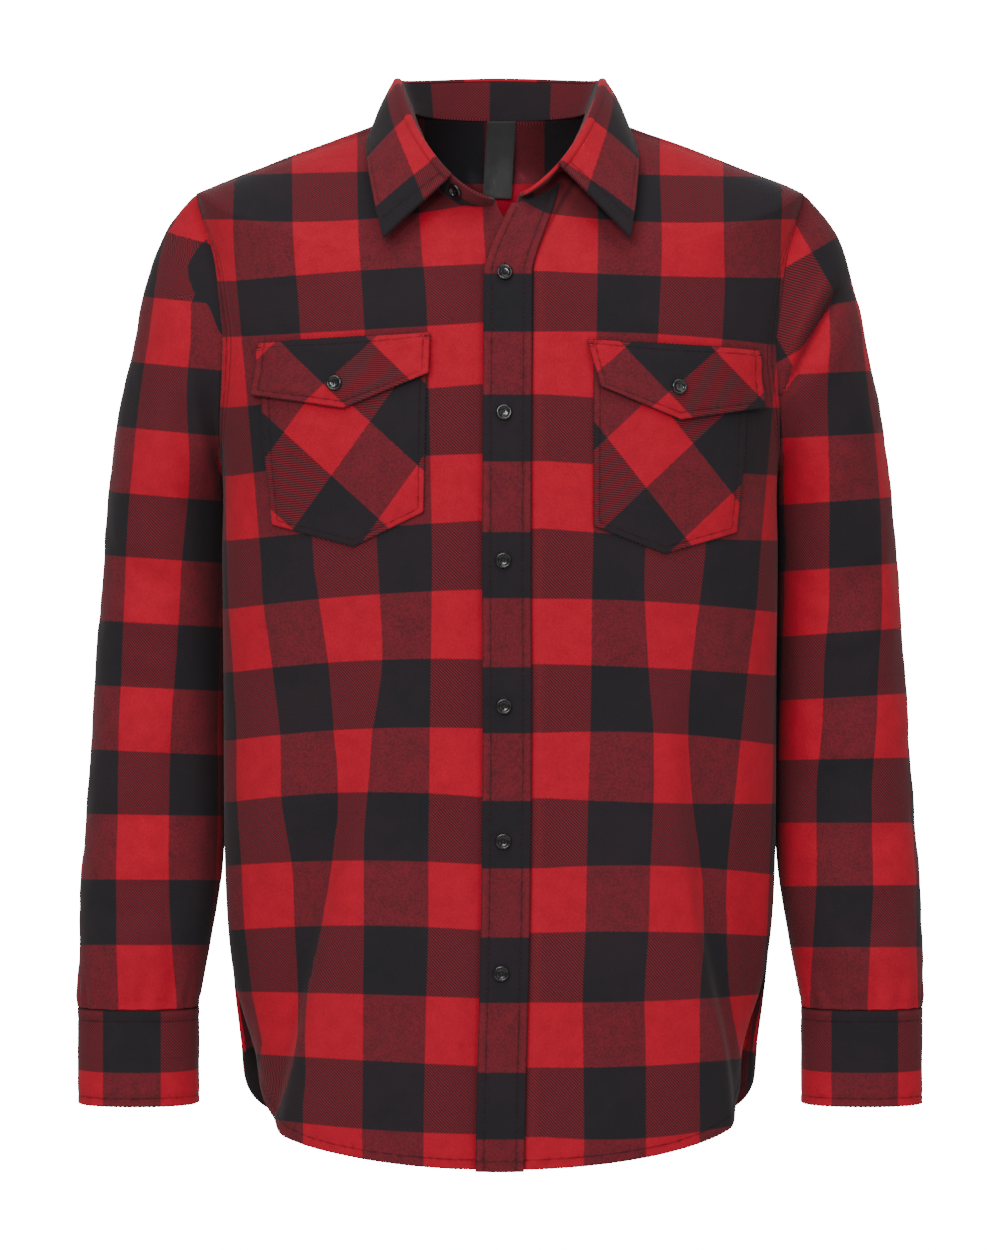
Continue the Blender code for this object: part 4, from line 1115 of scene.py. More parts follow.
# seen z of the sleeve's weft lines at its outer and inner side
sleeveWefts = {
    -1: ((-100, -111), (-147.5, -153), (-194.5, -201), (-241.5, -249), (-289, -296), (-335, -341),
         (-382.5, -387.5), (-429.5, -434), (-476, -480.5), (-523, -524.5), (-570.5, -571), (-618, -618),
         (-681, -681)),
    1: ((-106.5, -118), (-150, -158), (-201.5, -204.5), (-246.5, -250.5), (-293, -299), (-341, -347.5),
        (-388, -394.5), (-435.5, -441), (-482, -484), (-529.5, -529.5), (-574.5, -575.5), (-619.5, -619.5),
        (-681, -681)),
}
sleeves = {
    # depth, half width and path in millimetres; the front half and the back half of each sleeve
    "front": {
        -1: ((3.0, 9, ((-218, -170), (-212, -215), (-203, -262))),
             (-3.0, 9, ((-228, -180), (-222, -230), (-208, -285))),
             (3.4, 10, ((-236, -200), (-232, -250), (-214, -306))),
             (-2.6, 9, ((-248, -240), (-240, -290), (-218, -330))),
             (3.0, 9, ((-280, -330), (-256, -352), (-222, -366))),
             (-2.6, 9, ((-286, -368), (-262, -384), (-228, -392))),
             (3.2, 9, ((-292, -410), (-268, -428), (-234, -430))),
             (-2.8, 9, ((-292, -446), (-270, -462), (-232, -470))),
             (2.8, 8, ((-250, -470), (-232, -486), (-216, -496))),
             (3.0, 9, ((-300, -520), (-276, -530), (-246, -526))),
             (-2.6, 8, ((-296, -556), (-270, -566), (-238, -560))),
             (2.6, 8, ((-294, -590), (-272, -598), (-250, -592))),
             (2.0, 7, ((-240, -600), (-236, -630), (-232, -660))),
             (1.8, 6, ((-276, -628), (-280, -648), (-282, -668)))),
        1: ((6.5, 7, ((262, -128), (244, -146), (212, -208))),
            (-5.0, 7, ((248, -122), (230, -152), (206, -196))),
            (-2.5, 9, ((266, -150), (248, -180), (220, -226))),
            (3.2, 10, ((238, -210), (230, -258), (214, -312))),
            (-2.8, 9, ((252, -250), (242, -300), (220, -336))),
            (3.0, 9, ((284, -340), (258, -360), (226, -372))),
            (-2.6, 9, ((288, -378), (262, -396), (230, -402))),
            (3.2, 9, ((294, -424), (266, -440), (232, -444))),
            (-2.8, 9, ((292, -460), (268, -478), (232, -482))),
            (2.8, 8, ((250, -480), (232, -500), (218, -510))),
            (3.0, 9, ((300, -530), (272, -544), (244, -538))),
            (-2.6, 8, ((294, -566), (268, -578), (236, -572))),
            (2.6, 8, ((292, -600), (268, -610), (246, -602))),
            (2.0, 7, ((238, -610), (234, -636), (232, -662))),
            (1.8, 6, ((272, -630), (276, -650), (280, -668)))),
    },
    "back": ((3.0, 10, ((214, -190), (224, -240), (240, -300))),
             (-2.8, 10, ((232, -180), (240, -240), (256, -300))),
             (3.2, 10, ((220, -330), (250, -350), (284, -346))),
             (-2.6, 9, ((222, -370), (252, -390), (286, -384))),
             (3.4, 10, ((224, -420), (254, -436), (292, -424))),
             (-2.8, 9, ((226, -456), (258, -472), (294, -462))),
             (3.0, 9, ((228, -510), (256, -524), (296, -514))),
             (-2.4, 8, ((232, -550), (262, -560), (298, -552))),
             (2.6, 8, ((240, -590), (266, -600), (296, -590))),
             (2.0, 6, ((256, -628), (258, -646), (258, -668))),
             (2.0, 6, ((286, -626), (284, -646), (284, -668)))),
}
sleeveAxes = {-1: (-0.262, 0.012), 1: (0.262, 0.012)}
cuffRow = 10                                # the sleeve's row at the cuff's top edge
sleeveSeam = {"gap": 0.0008, "allowance": 0.0050, "inward": 0.0015, "aim": Vector((0, 0, -0.16))}


def armholePoint(side, way):
    level = armholeLevel(2 * armhole["steps"] * min(way, 1 - way))
    return torso(side, armholeTurn(level, way > 0.5), level)


def sleeveOval(side, way, ring):
    angle = 2 * math.pi * way
    far = reach(angle, ring.squareness)
    out, inner = Vector((side * ring.xOut, 0, ring.zOut)), Vector((side * ring.xIn, 0, ring.zIn))
    point = (out + inner) / 2 + (out - inner) / 2 * math.cos(angle) * far
    return point + Vector((0, ring.yMid - ring.halfDepth * math.sin(angle) * far, 0))


def cuffOval(side, angle, z, grow=0.0):
    far = reach(angle, cuff["squareness"])
    return Vector((side * (cuff["x"] + (cuff["halfWidth"] + grow) * math.cos(angle) * far),
                   cuff["y"] - (cuff["halfDepth"] + grow) * math.sin(angle) * far, z))


@lru_cache(maxsize=None)
def sleeveRing(row):
    return SleeveRing(*through(sleeveRings, row))


def sleevePoint(side, way, row):
    way = way % 1
    if row > cuffRow:                       # gathered into the cuff
        past = row - cuffRow
        z = cuff["top"] + cuff["gather"] - (past - 1) * (cuff["tuck"] + cuff["gather"])
        inCuff = cuffOval(side, 2 * math.pi * way, z, -cuff["wall"] - cuff["tuckGap"])
        if past >= 1:
            return inCuff
        end = sleeveOval(side, way, sleeveRings[-1])
        full = cuffOval(side, 2 * math.pi * way, z, -0.0002)
        swing = end.lerp(full, smooth(past / 0.7)).lerp(inCuff, smooth((past - 0.95) / 0.05))
        return Vector((swing.x, swing.y, mix(end.z, z, past)))
    ring = sleeveRing(max(row, 0))
    point = sleeveOval(side, way, ring)
    if ring.cap > 0:
        clear = Vector((side * sleeveSeam["gap"], 0, 0))
        point += (armholePoint(side, way) - sleeveOval(side, way, sleeveRings[0]) + clear) * ring.cap
    if row < 0:                             # the seam allowance inside the body
        inward = (sleeveSeam["aim"] - point).normalized() * sleeveSeam["inward"]
        point += Vector((side * sleeveSeam["allowance"], 0, 0)) * row + inward
    return point


arcSteps = 30
sleeveOuter = sorted((ring.zOut, ring.xOut) for ring in sleeveRings)
sleeveInner = sorted((ring.zIn, ring.xIn) for ring in sleeveRings)
sleeveDepth = sorted(((ring.zOut + ring.zIn) / 2, ring.halfDepth) for ring in sleeveRings[3:])


@lru_cache(maxsize=None)
def sleeveSection(z):
    # outer edge, half width, and the arc length from the front's middle, at this height in centimetres
    z = z / 100
    outer = through(sleeveOuter, z)[1]
    half = mix((outer - through(sleeveInner, z)[1]) / 2, sleeveCheck["halfWidth"], smooth((z + 0.34) / 0.08))
    depth = through(sleeveDepth, z)[1]
    step = math.pi / 2 / arcSteps
    arcs = [0.0]
    for k in range(arcSteps):
        angle = (k + 0.5) * step
        arcs.append(arcs[-1] + math.hypot(half * math.cos(angle), depth * math.sin(angle)) * step)
    return outer, half, arcs


def sleeveShare(side, x, section):
    # how far out a place is, from -1 at the sleeve's inner edge to 1 at its outer one
    outer, half, _ = section
    return clamp((side * x - outer + half) / half, -1)


def arcTo(section, share):
    arcs = section[2]
    place = min(abs(math.asin(share)) / math.pi * 2 * arcSteps, arcSteps - 0.001)
    return math.copysign(mix(arcs[int(place)], arcs[int(place) + 1], place % 1), share)


def sleeveAcross(side, point):
    # the share out on the front, and u there by the seen middle of the centre column
    section = sleeveSection(round(point.z * 100))
    _, middle, shown = through(sleeveCentre[side], seen(point)[1])
    share = sleeveShare(side, point.x, section)
    home = sleeveShare(side, middle * mm * sleeveCheck["nearer"], section)
    away = arcTo(section, share) - arcTo(section, home)
    columns = away * shownScale(sleeveCheck["column"] / shown, away) / check["width"]
    return share, sleeveCheck["start"][side] + side * columns


@lru_cache(maxsize=None)
def outerLine(side):
    # the straight line that best follows u down the sleeve's outer edge
    heights = [-0.20 - 0.05 * k for k in range(9)]
    edges = [Vector((side * sleeveSection(round(z * 100))[0], -0.02, z)) for z in heights]
    found = [sleeveAcross(side, edge)[1] for edge in edges]
    middleZ, middleU = sum(heights) / len(heights), sum(found) / len(heights)
    slope = (sum((z - middleZ) * (u - middleU) for z, u in zip(heights, found))
             / sum((z - middleZ) ** 2 for z in heights))
    return middleU - slope * middleZ, slope


def sleeveBehind(side, point):
    section = sleeveSection(round(point.z * 100))
    start, slope = outerLine(side)
    further = section[2][-1] - arcTo(section, sleeveShare(side, point.x, section))
    return start + slope * point.z + side * further / check["width"]


def sleeveDown(side, point):
    z = seen(point)[1]
    outer, half, _ = sleeveSection(round(point.z * 100))
    share = clamp((outer - side * point.x) / (outer - max(outer - 2 * half, sleeveCheck["innerX"])))
    wefts = [mix(high, low, share) for high, low in sleeveWefts[side]]
    if z >= wefts[0]:
        return 1 - (z - wefts[0]) / sleeveCheck["step"]
    if z <= wefts[-1]:
        return len(wefts) + (wefts[-1] - z) / sleeveCheck["step"]
    k = max(i for i in range(len(wefts) - 1) if z <= wefts[i])
    return 1 + k + (wefts[k] - z) / (wefts[k] - wefts[k + 1])


# above a crease the sleeve's check is turned: seen corner of four blocks, its turn, and the crease's two ends
capTwist = {"corner": (226.1, -115.5), "turn": math.radians(30), "high": (250.3, -125.7),
            "low": (209.7, -204.4), "across": 53, "down": 57, "soft": 4.5, "lowestZ": -215}
# by the other armhole the weft line runs down along a wedge: seen z, and x of the wedge's edge
wedge = {"edge": ((-175, -201.5), (-130, -224.2), (-113, -214.0), (-105, -205), (-60, -200)),
         "straight": -222.5, "width": 43, "drop": 0.47, "most": 1.96}


def aboveCrease(x, z):
    (xh, zh), (xl, zl) = capTwist["high"], capTwist["low"]
    return ((z - zl) * (xh - xl) - (x - xl) * (zh - zl)) / math.hypot(xh - xl, zh - zl)


def twisted(x, z, u, v, front):
    share = smooth(aboveCrease(x, z) / capTwist["soft"] + 1) * front
    x, z = x - capTwist["corner"][0], z - capTwist["corner"][1]
    c, s = math.cos(capTwist["turn"]), math.sin(capTwist["turn"])
    turnedU, turnedV = (x * c + z * s) / capTwist["across"], 1 + (x * s - z * c) / capTwist["down"]
    return mix(u, turnedU, share), mix(v, turnedV, share)


def wedged(x, z, u, v, front):
    v -= wedge["drop"] * front * smooth((x + 214) / 13) * smooth((z + 200) / 22) * smooth((-120 - z) / 30)
    shift = (through(wedge["edge"], z)[1] - wedge["straight"]) / wedge["width"]
    u -= shift * front * smooth((x + 245) / 12) * smooth((2 - v) / 0.12)
    if v < 1:
        u = mix(u, min(u, wedge["most"]), smooth(front / 0.5))
    return u, v


def sleeveRowChecks(side, ways, row):
    # u is known over the middle of the front, and runs on by width round the back to the underarm
    us = [None] * len(row)
    for k, (way, point) in enumerate(zip(ways, row)):
        if 0.02 < way < 0.48:
            share, u = sleeveAcross(side, point)
            if abs(share) < 0.78:
                us[k] = u
    middle = len(row) * 3 // 4
    us[middle] = us[middle] or sleeveAcross(side, row[middle])[1]
    for k in range(middle - 1, -1, -1):
        us[k] = us[k] or us[k + 1] + side * (row[k] - row[k + 1]).xy.length / check["width"]
        if -0.42 < ways[k] < -0.03:         # the back's columns run straight down
            us[k] = mix(us[k], sleeveBehind(side, row[k]), smooth((-ways[k] - 0.03) / 0.09))
    for k in range(middle + 1, len(row)):
        us[k] = us[k] or us[k - 1] - side * (row[k] - row[k - 1]).xy.length / check["width"]
    places = []
    for way, u, point in zip(ways, us, row):
        v, (x, z) = sleeveDown(side, point), seen(point)
        inner = smooth((0.5 - way) / 0.02)
        front = smooth((way + 0.05) / 0.08) * inner
        if side > 0 and way > -0.18 and z > capTwist["lowestZ"]:
            u, v = twisted(x, z, u, v, smooth((way + 0.18) / 0.18) * inner)
        if side < 0 and front > 0:
            u, v = wedged(x, z, u, v, front)
        places.append((u, v))
    return places


def makeSleeve(side):
    name, node = f"{words[side]}Sleeve", f"sleeve_{words[side]}"
    around = [k / 108 - 0.5 for k in range(109)]
    rows = [-1] + steps(0, 1, 7) + steps(1, 3, 16) + steps(3, 9, 96) + steps(9, cuffRow, 14)
    rows += steps(cuffRow, 10.8, 6) + [10.8, 10.9, 10.95, 11, 12]
    waves = ((1.5, 0.8, 34, 21 + side), (0.7, 1, 15, 25 + side))

    def relief(way, row, point):
        if row < 0:
            return 0.0
        x, z = seen(point)
        creases = (creaseAt(sleeves["front"][side], x, z) if 0 <= way <= 0.5
                   else creaseAt(sleeves["back"], abs(x), z + 6 * side))
        total = creases * smooth(abs(math.sin(2 * math.pi * way)) / 0.45)
        total += uneven(waves, point.x * 1000, point.y * 1000, z)
        total *= smooth(row / 0.8) * (1 - smooth((row - 9.6) / 1.2))
        if row > 9.4:                       # little tucks where the sleeve is gathered into the cuff
            tuck = math.sin(2 * math.pi * (way * 17 + 0.4 * ripple(way, 0, 0, 0.11, 31)))
            total += 1.1 * tuck * smooth((row - 9.4) / 0.8) * (1 - smooth((row - 10.6) / 0.6))
        total += 0.6 * bell(row - 0.28, 0.22)
        inner = smooth((math.cos(2 * math.pi * (way - 0.5)) - 0.75) / 0.2)      # beside the body
        lower = 1.3 * smooth((-0.30 - point.z) / 0.05) * smooth((point.z + 0.60) / 0.08)
        upper = 2.6 * smooth((-0.262 - point.z) / 0.015) * smooth((point.z + 0.345) / 0.04)
        return mix(total, max(total, 0) * 0.3 + lower + upper, inner) * mm

    def seam(way, row, point):
        # the shaded crease of the cap
        if side < 0 or not 0.02 < way < 0.49 or point.z < -0.26:
            return farOff, farOff
        x, z = seen(point)
        past = max(z - capTwist["high"][1], capTwist["low"][1] - z, 0) * 0.12
        away = aboveCrease(x, z) + 1.5
        return farOff, away * 0.22 + math.copysign(past, away)

    thing = cloth(name, node, "flannel", around, rows, partial(sleevePoint, side), panelWall,
                  rowwise(partial(sleeveRowChecks, side, around)), relief, sleeveAxes[side], closed=True,
                  seam=seam)


def makeCuff(side):
    name, node = f"{words[side]}Cuff", f"cuff_{words[side]}"
    full = 2 * math.pi + cuff["lap"]
    turns = [full * k / 120 for k in range(121)]
    rows = [0, 0.02, 0.045, 0.07, 0.083, 0.1, 0.13, 0.17, 0.2] + steps(0.25, 0.8, 12)
    rows += [0.8, 0.83, 0.85, 0.865, 0.88, 0.9, 0.94, 0.97, 1]

    def form(gone, row):
        lapped = smooth((gone - 2 * math.pi + 0.65) / 0.50)
        z = mix(cuff["bottom"], cuff["top"], row)
        return cuffOval(side, gone - cuff["start"], z, (cuff["wall"] + cuff["lapGap"]) * lapped)

    def relief(gone, row, point):
        height, along = row * cuff["height"], gone * 45
        total = sum(groove(height, line, 0.0012, 0.45) for line in cuff["lines"])
        total += 0.45 * ripple(along, row * 60, side * 9, 16, 41)
        total += 0.5 * ripple(along, row * 20, side * 9, 38, 43)
        near = sum(bell(height - line, 0.004) for line in cuff["lines"])
        total += 0.25 * near * ripple(along, 0, side * 5, 5, 45)
        return total * mm * mix(1, 0.3, smooth((gone - 2 * math.pi + 0.8) / 0.4))

    def rowChecks(row):
        arc = lengths(row)
        start = next((arc[k] for k in range(30, 100)
                      if row[k].y < cuff["y"] and side * seen(row[k])[0] <= cuff["target"][side]), arc[60])
        line = []
        for point, away in zip(row, (gone - start for gone in arc)):
            columns = away * shownScale(cuff["column"] / cuff["shown"][side], away) / check["width"]
            line.append((0.5 - side * columns, 2 + (cuff["weftZ"] - point.z) / check["height"]))
        return line

    def seam(gone, row, point):
        away = min((row * cuff["height"] - line for line in cuff["lines"]), key=abs)
        return away / mm, min(row, 1 - row) * cuff["height"] / mm

    thing = cloth(name, node, "flannel", turns, rows, form, cuff["wall"], rowwise(rowChecks), relief,
                  (side * cuff["x"], cuff["y"]), rim=0.0006, seam=seam)
    grid = grids[name]
    stitchRow(name, grid[0], side * cuff["lines"][0])
    stitchRow(name, grid[-1], -side * cuff["topStitch"])
    stitchRow(name, [row[-1] for row in grid[2:-2]], side * cuff["endStitch"])
    makeStitches(name)


sleevePlacket = {"way": 0.675, "rows": (8.0, 9.85), "halfWidth": 0.0125, "lift": 0.0006, "stitch": 0.0022}


def makeSleevePlacket(side):
    sleeve, node = f"{words[side]}Sleeve", f"sleeve_placket_{words[side]}"
    name = sleeve + "Placket"
    across = [k / 5 - 1 for k in range(11)]
    down = [k / 30 for k in range(31)]

    def form(place, share):
        row, near, way = mix(*sleevePlacket["rows"], share), 0.02, sleevePlacket["way"]
        stretch = (sleevePoint(side, way + near, row) - sleevePoint(side, way, row)).length
        way += near * place * sleevePlacket["halfWidth"] / stretch
        spot, normal, _, _ = surfaces[sleeve][0].find_nearest(sleevePoint(side, way, row))
        return spot + normal * sleevePlacket["lift"]

    def relief(place, share, point):
        edge = min(1 - abs(place), share * 9, 9 - share * 9)
        return 0.0002 * smooth(edge / 0.2) + groove(abs(place), 0.78, 0.1, 0.0003)

    thing = cloth(name, node, "flannel", across, down, form, panelWall,
                  pointwise(lambda i, j, point: (0.5 + 0.5 * across[i],
                                                 seen(point)[1] / -sleeveCheck["step"])),
                  relief, sleeveAxes[side], offset=1, rim=0.0004)
    for pick, sign in ((0, -1), (-1, 1)):
        stitchRow(name, [row[pick] for row in grids[name]], sign * side * sleevePlacket["stitch"])
    makeStitches(name)


for side in (-1, 1):
    makeSleeve(side)
    makeCuff(side)
    makeSleevePlacket(side)

print("stage: collar")
collarFold = Ring(0, 0.0745, 2.30, 0.012, -0.1110, 0.0655, 0.0242, -0.0760, 0.0312, 1.70)
collarAxis = (0, -0.01)
leafEdge = (                                # way, x, y, z and how much of the spread counts
    (0.00, 0.0000, 0.0785, -0.0120, 0.0), (0.20, 0.0500, 0.0720, -0.0100, 0.0),
    (0.40, 0.0850, 0.0450, -0.0060, 0.0), (0.60, 0.0938, 0.0040, -0.0065, 0.1),
    (0.75, 0.0998, -0.0330, -0.0260, 0.2), (0.87, 0.0995, -0.0680, -0.0460, 0.5),
    (0.95, 0.0945, -0.0980, -0.0790, 0.8), (1.00, 0.0893, -0.1180, -0.1050, 1.0),
)
leaf = {"spread": {-1: -0.0045, 1: 0.0050}, "start": {-1: math.radians(27), 1: math.radians(33)},
        "roll": 0.0026, "rollTurn": math.radians(150), "foldGap": 0.0018, "bulge": 0.0014,
        "stitch": 0.0060, "wall": 0.0024}
# where the check's lines fall on the leaf laid flat: across it from the back centre, and down from its fold
leafPattern = {"warpAt": -0.0085, "warpBack": 0.0035, "backEnd": 0.06, "weftAt": {-1: 0.1966, 1: 0.2005},
               "warpStep": 0.0456, "weftStep": 0.0550, "weftsInside": 3.5, "skew": 0.35}
stand = {"end": math.radians(14), "endHeight": 0.22, "lift": 0.0007, "frontLift": 0.0005, "rise": 0.0014,
         "wall": 0.0024, "drop": {-1: 0.0145, 1: 0.0030}, "dropStart": math.radians(62),
         "dropOver": math.radians(36), "proud": 0.0024, "tuck": 0.0022, "dropTuck": 0.0014,
         "stitch": 0.0025, "spread": 0.25, "period": 0.0482, "start": 0.00965, "plain": 0.150}
standEnds = (frontTurns(-1, neck)[0], 2 * math.pi - frontTurns(1, neck)[0])


def collarAxes(side, turn):
    foot = torso(side, turn, neck)
    head = ringPoint(collarFold, side, turn)
    along = ringPoint(collarFold, side, turn + 0.01) - ringPoint(collarFold, side, turn - 0.01)
    upward = (head - foot).normalized()
    return foot, head, upward, side * along.cross(upward).normalized()


def standPoint(place, row):
    side, turn = (-1, place) if place <= math.pi else (1, 2 * math.pi - place)
    foot, head, upward, _ = collarAxes(side, turn)
    near = clamp(min(abs(place - end) for end in standEnds) / stand["end"])
    tall = mix(stand["endHeight"], 1, math.sqrt(1 - (1 - near) ** 2))
    lift = stand["lift"] + stand["frontLift"] * smooth((math.pi / 2 - turn) / 0.8)
    rise = stand["rise"] * smooth((turn - 0.8) / 0.4)
    top = foot + upward * (lift + ((head - foot).length - lift) * tall + rise)
    # towards its ends the band comes down over the fronts
    drop = stand["drop"][side] * smooth((stand["dropStart"] - turn) / stand["dropOver"]) * mix(0.35, 1, near)
    down = (torso(side, turn, neck - 0.03) - torso(side, turn, neck)).normalized()
    normal = torsoNormal(side, turn, neck)
    foot = foot + upward * lift + down * drop + normal * stand["proud"] * min(drop / 0.002, 1)
    if row < 0:
        return foot - (upward * stand["tuck"] if drop < 0.0005 else normal * stand["dropTuck"])
    return foot.lerp(top, row)


def makeStand():
    (low, high), spread = standEnds, stand["spread"]
    places = steps(low, low + spread, 10) + steps(low + spread, high - spread, 110)
    places += steps(high - spread, high, 10) + [high]
    rows = [-1] + steps(0, 1, 9) + [1]
    middle = min(range(len(places)), key=lambda k: abs(places[k] - math.pi))

    def relief(place, row, point):
        if row < 0:
            return 0.0
        return (groove(row, 0.16, 0.06, 0.35) + 0.35 * ripple(place * 60, row * 20, 0, 18, 51)) * mm

    def rowChecks(height, row):
        gone = lengths(row)
        line = []
        for along in (far - gone[middle] for far in gone):
            u = (along + stand["start"]) / stand["period"] + smooth((-along - stand["plain"]) / 0.02)
            line.append((u, 1.2 + smooth((along - stand["plain"]) / 0.02) + 0.6 * max(height, 0)))
        return line

    thing = cloth("collarStand", "collar_stand", "flannel_dark", places, rows, standPoint, stand["wall"],
                  lambda grid: [rowChecks(*pair) for pair in zip(rows, grid)], relief, collarAxis,
                  offset=0, rim=0.0007)
    stitchRow("collarStand", grids["collarStand"][1], -stand["stitch"])
    makeStitches("collarStand")


def leafPoint(way, row):
    # rows 0 to 1 are the roll over the fold, and 1 to 2 the fall
    side, far = sideOf(way), abs(way)
    _, head, upward, out = collarAxes(side, mix(math.pi, leaf["start"][side], far))
    angle = leaf["rollTurn"] * min(row, 1)
    point = head + upward * leaf["foldGap"]
    point += leaf["roll"] * (out * (1 - math.cos(angle)) + upward * math.sin(angle))
    if row <= 1:
        return point
    _, x, y, z, spread = through(leafEdge, far)
    end = Vector((side * (x + leaf["spread"][side] * spread), y, z))
    over = (end - point).cross(out.cross(upward)).normalized()
    over *= 1 if over.dot(out + upward) > 0 else -1
    return point.lerp(end, row - 1) + over * leaf["bulge"] * math.sin(math.pi * (row - 1))


def meet(first, second, farFirst, farSecond, side):
    # the point at these distances from two flat points, on the side given
    line = second - first
    length = line.length
    share = (farFirst ** 2 - farSecond ** 2 + length ** 2) / (2 * length)
    off = math.sqrt(max(farFirst ** 2 - share ** 2, 0))
    line.normalize()
    return first + line * share + Vector((line.y, -line.x)) * off * side


def laidFlat(folds, edges):
    # the fall's fold and edge laid flat strip by strip, out from the back centre
    middle = len(folds) // 2
    flat = {middle: (Vector((0, 0)), Vector((0, (edges[middle] - folds[middle]).length)))}
    for side, order in ((1, range(middle + 1, len(folds))), (-1, range(middle - 1, -1, -1))):
        for k in order:
            fold, edge = flat[k - side]
            toFold, toEdge = folds[k - side], edges[k - side]
            fold = meet(fold, edge, (folds[k] - toFold).length, (folds[k] - toEdge).length, side)
            edge = meet(fold, edge, (edges[k] - folds[k]).length, (edges[k] - toEdge).length, side)
            flat[k] = fold, edge
    return flat


def leafChecks(ways, rows, grid):
    start = next(k for k, row in enumerate(rows) if row >= 1)
    flat = laidFlat(grid[start], grid[-1])

    def checkAt(i, j, point):
        side, (fold, edge) = sideOf(ways[i]), flat[i]
        if j >= start:
            spot = fold.lerp(edge, rows[j] - 1)
        else:
            rolled = sum((grid[m][i] - grid[m + 1][i]).length for m in range(j, start))
            spot = fold - (edge - fold).normalized() * rolled
        far, weftAt = side * spot.x, leafPattern["weftAt"][side]
        past = smooth((far - leafPattern["backEnd"]) / 0.06)
        out = spot.y - mix(leafPattern["warpBack"], leafPattern["warpAt"], past)
        along = far - leafPattern["skew"] * out * smooth((far - 0.10) / 0.08) - weftAt
        weftStep = leafPattern["weftStep"] if along > 0 else weftAt / leafPattern["weftsInside"]
        return out / leafPattern["warpStep"], along / weftStep

    return pointwise(checkAt)(grid)


def makeLeaf():
    ways = mirrored(steps(0, 0.9, 52) + steps(0.9, 1, 12) + [1])
    rows = steps(0, 1, 7) + steps(1, 1.82, 16) + steps(1.82, 2, 8) + [2]

    def edgeAway(way, row):
        length = 0.045 + 0.055 * smooth((abs(way) - 0.6) / 0.4)
        return min((2 - row) * length, (1 - abs(way)) * 0.26)

    def seam(way, row, point):
        if row < 1:
            return farOff, farOff
        edge = edgeAway(way, row)
        return (edge - leaf["stitch"]) / mm, edge / mm

    def relief(way, row, point):
        if row < 1:
            return 0.0
        place, edge = [value * 1000 for value in point], edgeAway(way, row)
        total = groove(edge, leaf["stitch"], 0.0012, 0.4) - 0.3 * bell(edge, 0.0012)
        total += 0.7 * ripple(*place, 30, 61) * smooth((row - 1) / 0.3)
        total += 0.3 * bell(edge - leaf["stitch"], 0.004) * ripple(*place, 6, 63)
        return total * mm

    thing = cloth("collarLeaf", "collar_leaf", "flannel_dark", ways, rows, leafPoint, leaf["wall"],
                  partial(leafChecks, ways, rows), relief, collarAxis, offset=0, rim=0.0008, seam=seam)
    grid = grids["collarLeaf"]
    inner = next(k for k, row in enumerate(rows) if row >= 1.08)
    stitchRow("collarLeaf", [row[0] for row in grid[inner:-5]], -leaf["stitch"])
    stitchRow("collarLeaf", grid[-1][4:-4], leaf["stitch"])
    stitchRow("collarLeaf", [row[-1] for row in grid[inner:-5]], leaf["stitch"])
    makeStitches("collarLeaf")


makeStand()
makeLeaf()

print("stage: placket, pockets and flaps")


def makePlacket():
    columns = [k / 20 for k in range(21)]
    rows = [level for level in frontRows if level < placket["top"]] + [placket["top"]]

    def form(across, level):
        ring = ringAt(level)
        turn = turnAtX(ring, freeEdgeX(ring.zFront) + placket["width"] * across)
        point = torso(1, turn, level)
        longer = Vector((0, 0, placket["longer"] * (1 - smooth(level / 0.012))))
        return point + (placket["lift"] + frontRelief(point)) * torsoNormal(1, turn, level) - longer

    def relief(across, level, point):
        away = min(across, 1 - across) * placket["width"]
        total = groove(away, placket["stitch"], 0.0011, 0.45) - 0.25 * bell(away, 0.001)
        near = bell(away - placket["stitch"], 0.0035)
        total += 0.28 * near * ripple(across * 4, 0, point.z * 1000, 7, 71)
        total += 0.3 * ripple(across * 12, 0, point.z * 1000, 24, 73)
        return total * mm + hemRelief(level, point) * 0.5

    def checkAt(i, j, point):
        across, (x, z) = columns[i], seen(point)
        lean = placket["lean"] * smooth((z + 125) / 45)     # the top turns with its edge
        return 0.05 + 0.9 * across, weftPlace(0, x, z + (across - 0.5) * lean)

    def seam(across, level, point):
        away = min(across, 1 - across) * placket["width"]
        return min((away - placket["stitch"]) / mm, hemAway(level, point), key=abs), away / mm

    thing = cloth("frontPlacket", "front_placket", "flannel_dark", columns, rows, form, placket["wall"],
                  pointwise(checkAt), relief, offset=1, rim=0.0005, seam=seam)
    grid = grids["frontPlacket"]
    stitchRow("frontPlacket", [row[0] for row in grid], -placket["stitch"])
    stitchRow("frontPlacket", [row[-1] for row in grid], placket["stitch"])
    stitchRow("frontPlacket", grid[0], hem["width"])
    makeStitches("frontPlacket")


# corners as x and z: top inner and outer, base inner and outer, and tip
patchCorners = {
    "pocket": {
        -1: ((-0.0530, -0.1860), (-0.1765, -0.1935), (-0.0555, -0.3040), (-0.1665, -0.3125),
             (-0.1065, -0.3290)),
        1: ((0.0680, -0.1900), (0.1840, -0.1975), (0.0677, -0.3140), (0.1740, -0.3180), (0.1195, -0.3340)),
    },
    "flap": {
        -1: ((-0.0508, -0.1745), (-0.1760, -0.1800), (-0.0515, -0.2035), (-0.1795, -0.2170),
             (-0.1130, -0.2285)),
        1: ((0.0632, -0.1795), (0.1905, -0.1845), (0.0725, -0.2130), (0.1915, -0.2255), (0.1300, -0.2365)),
    },
}
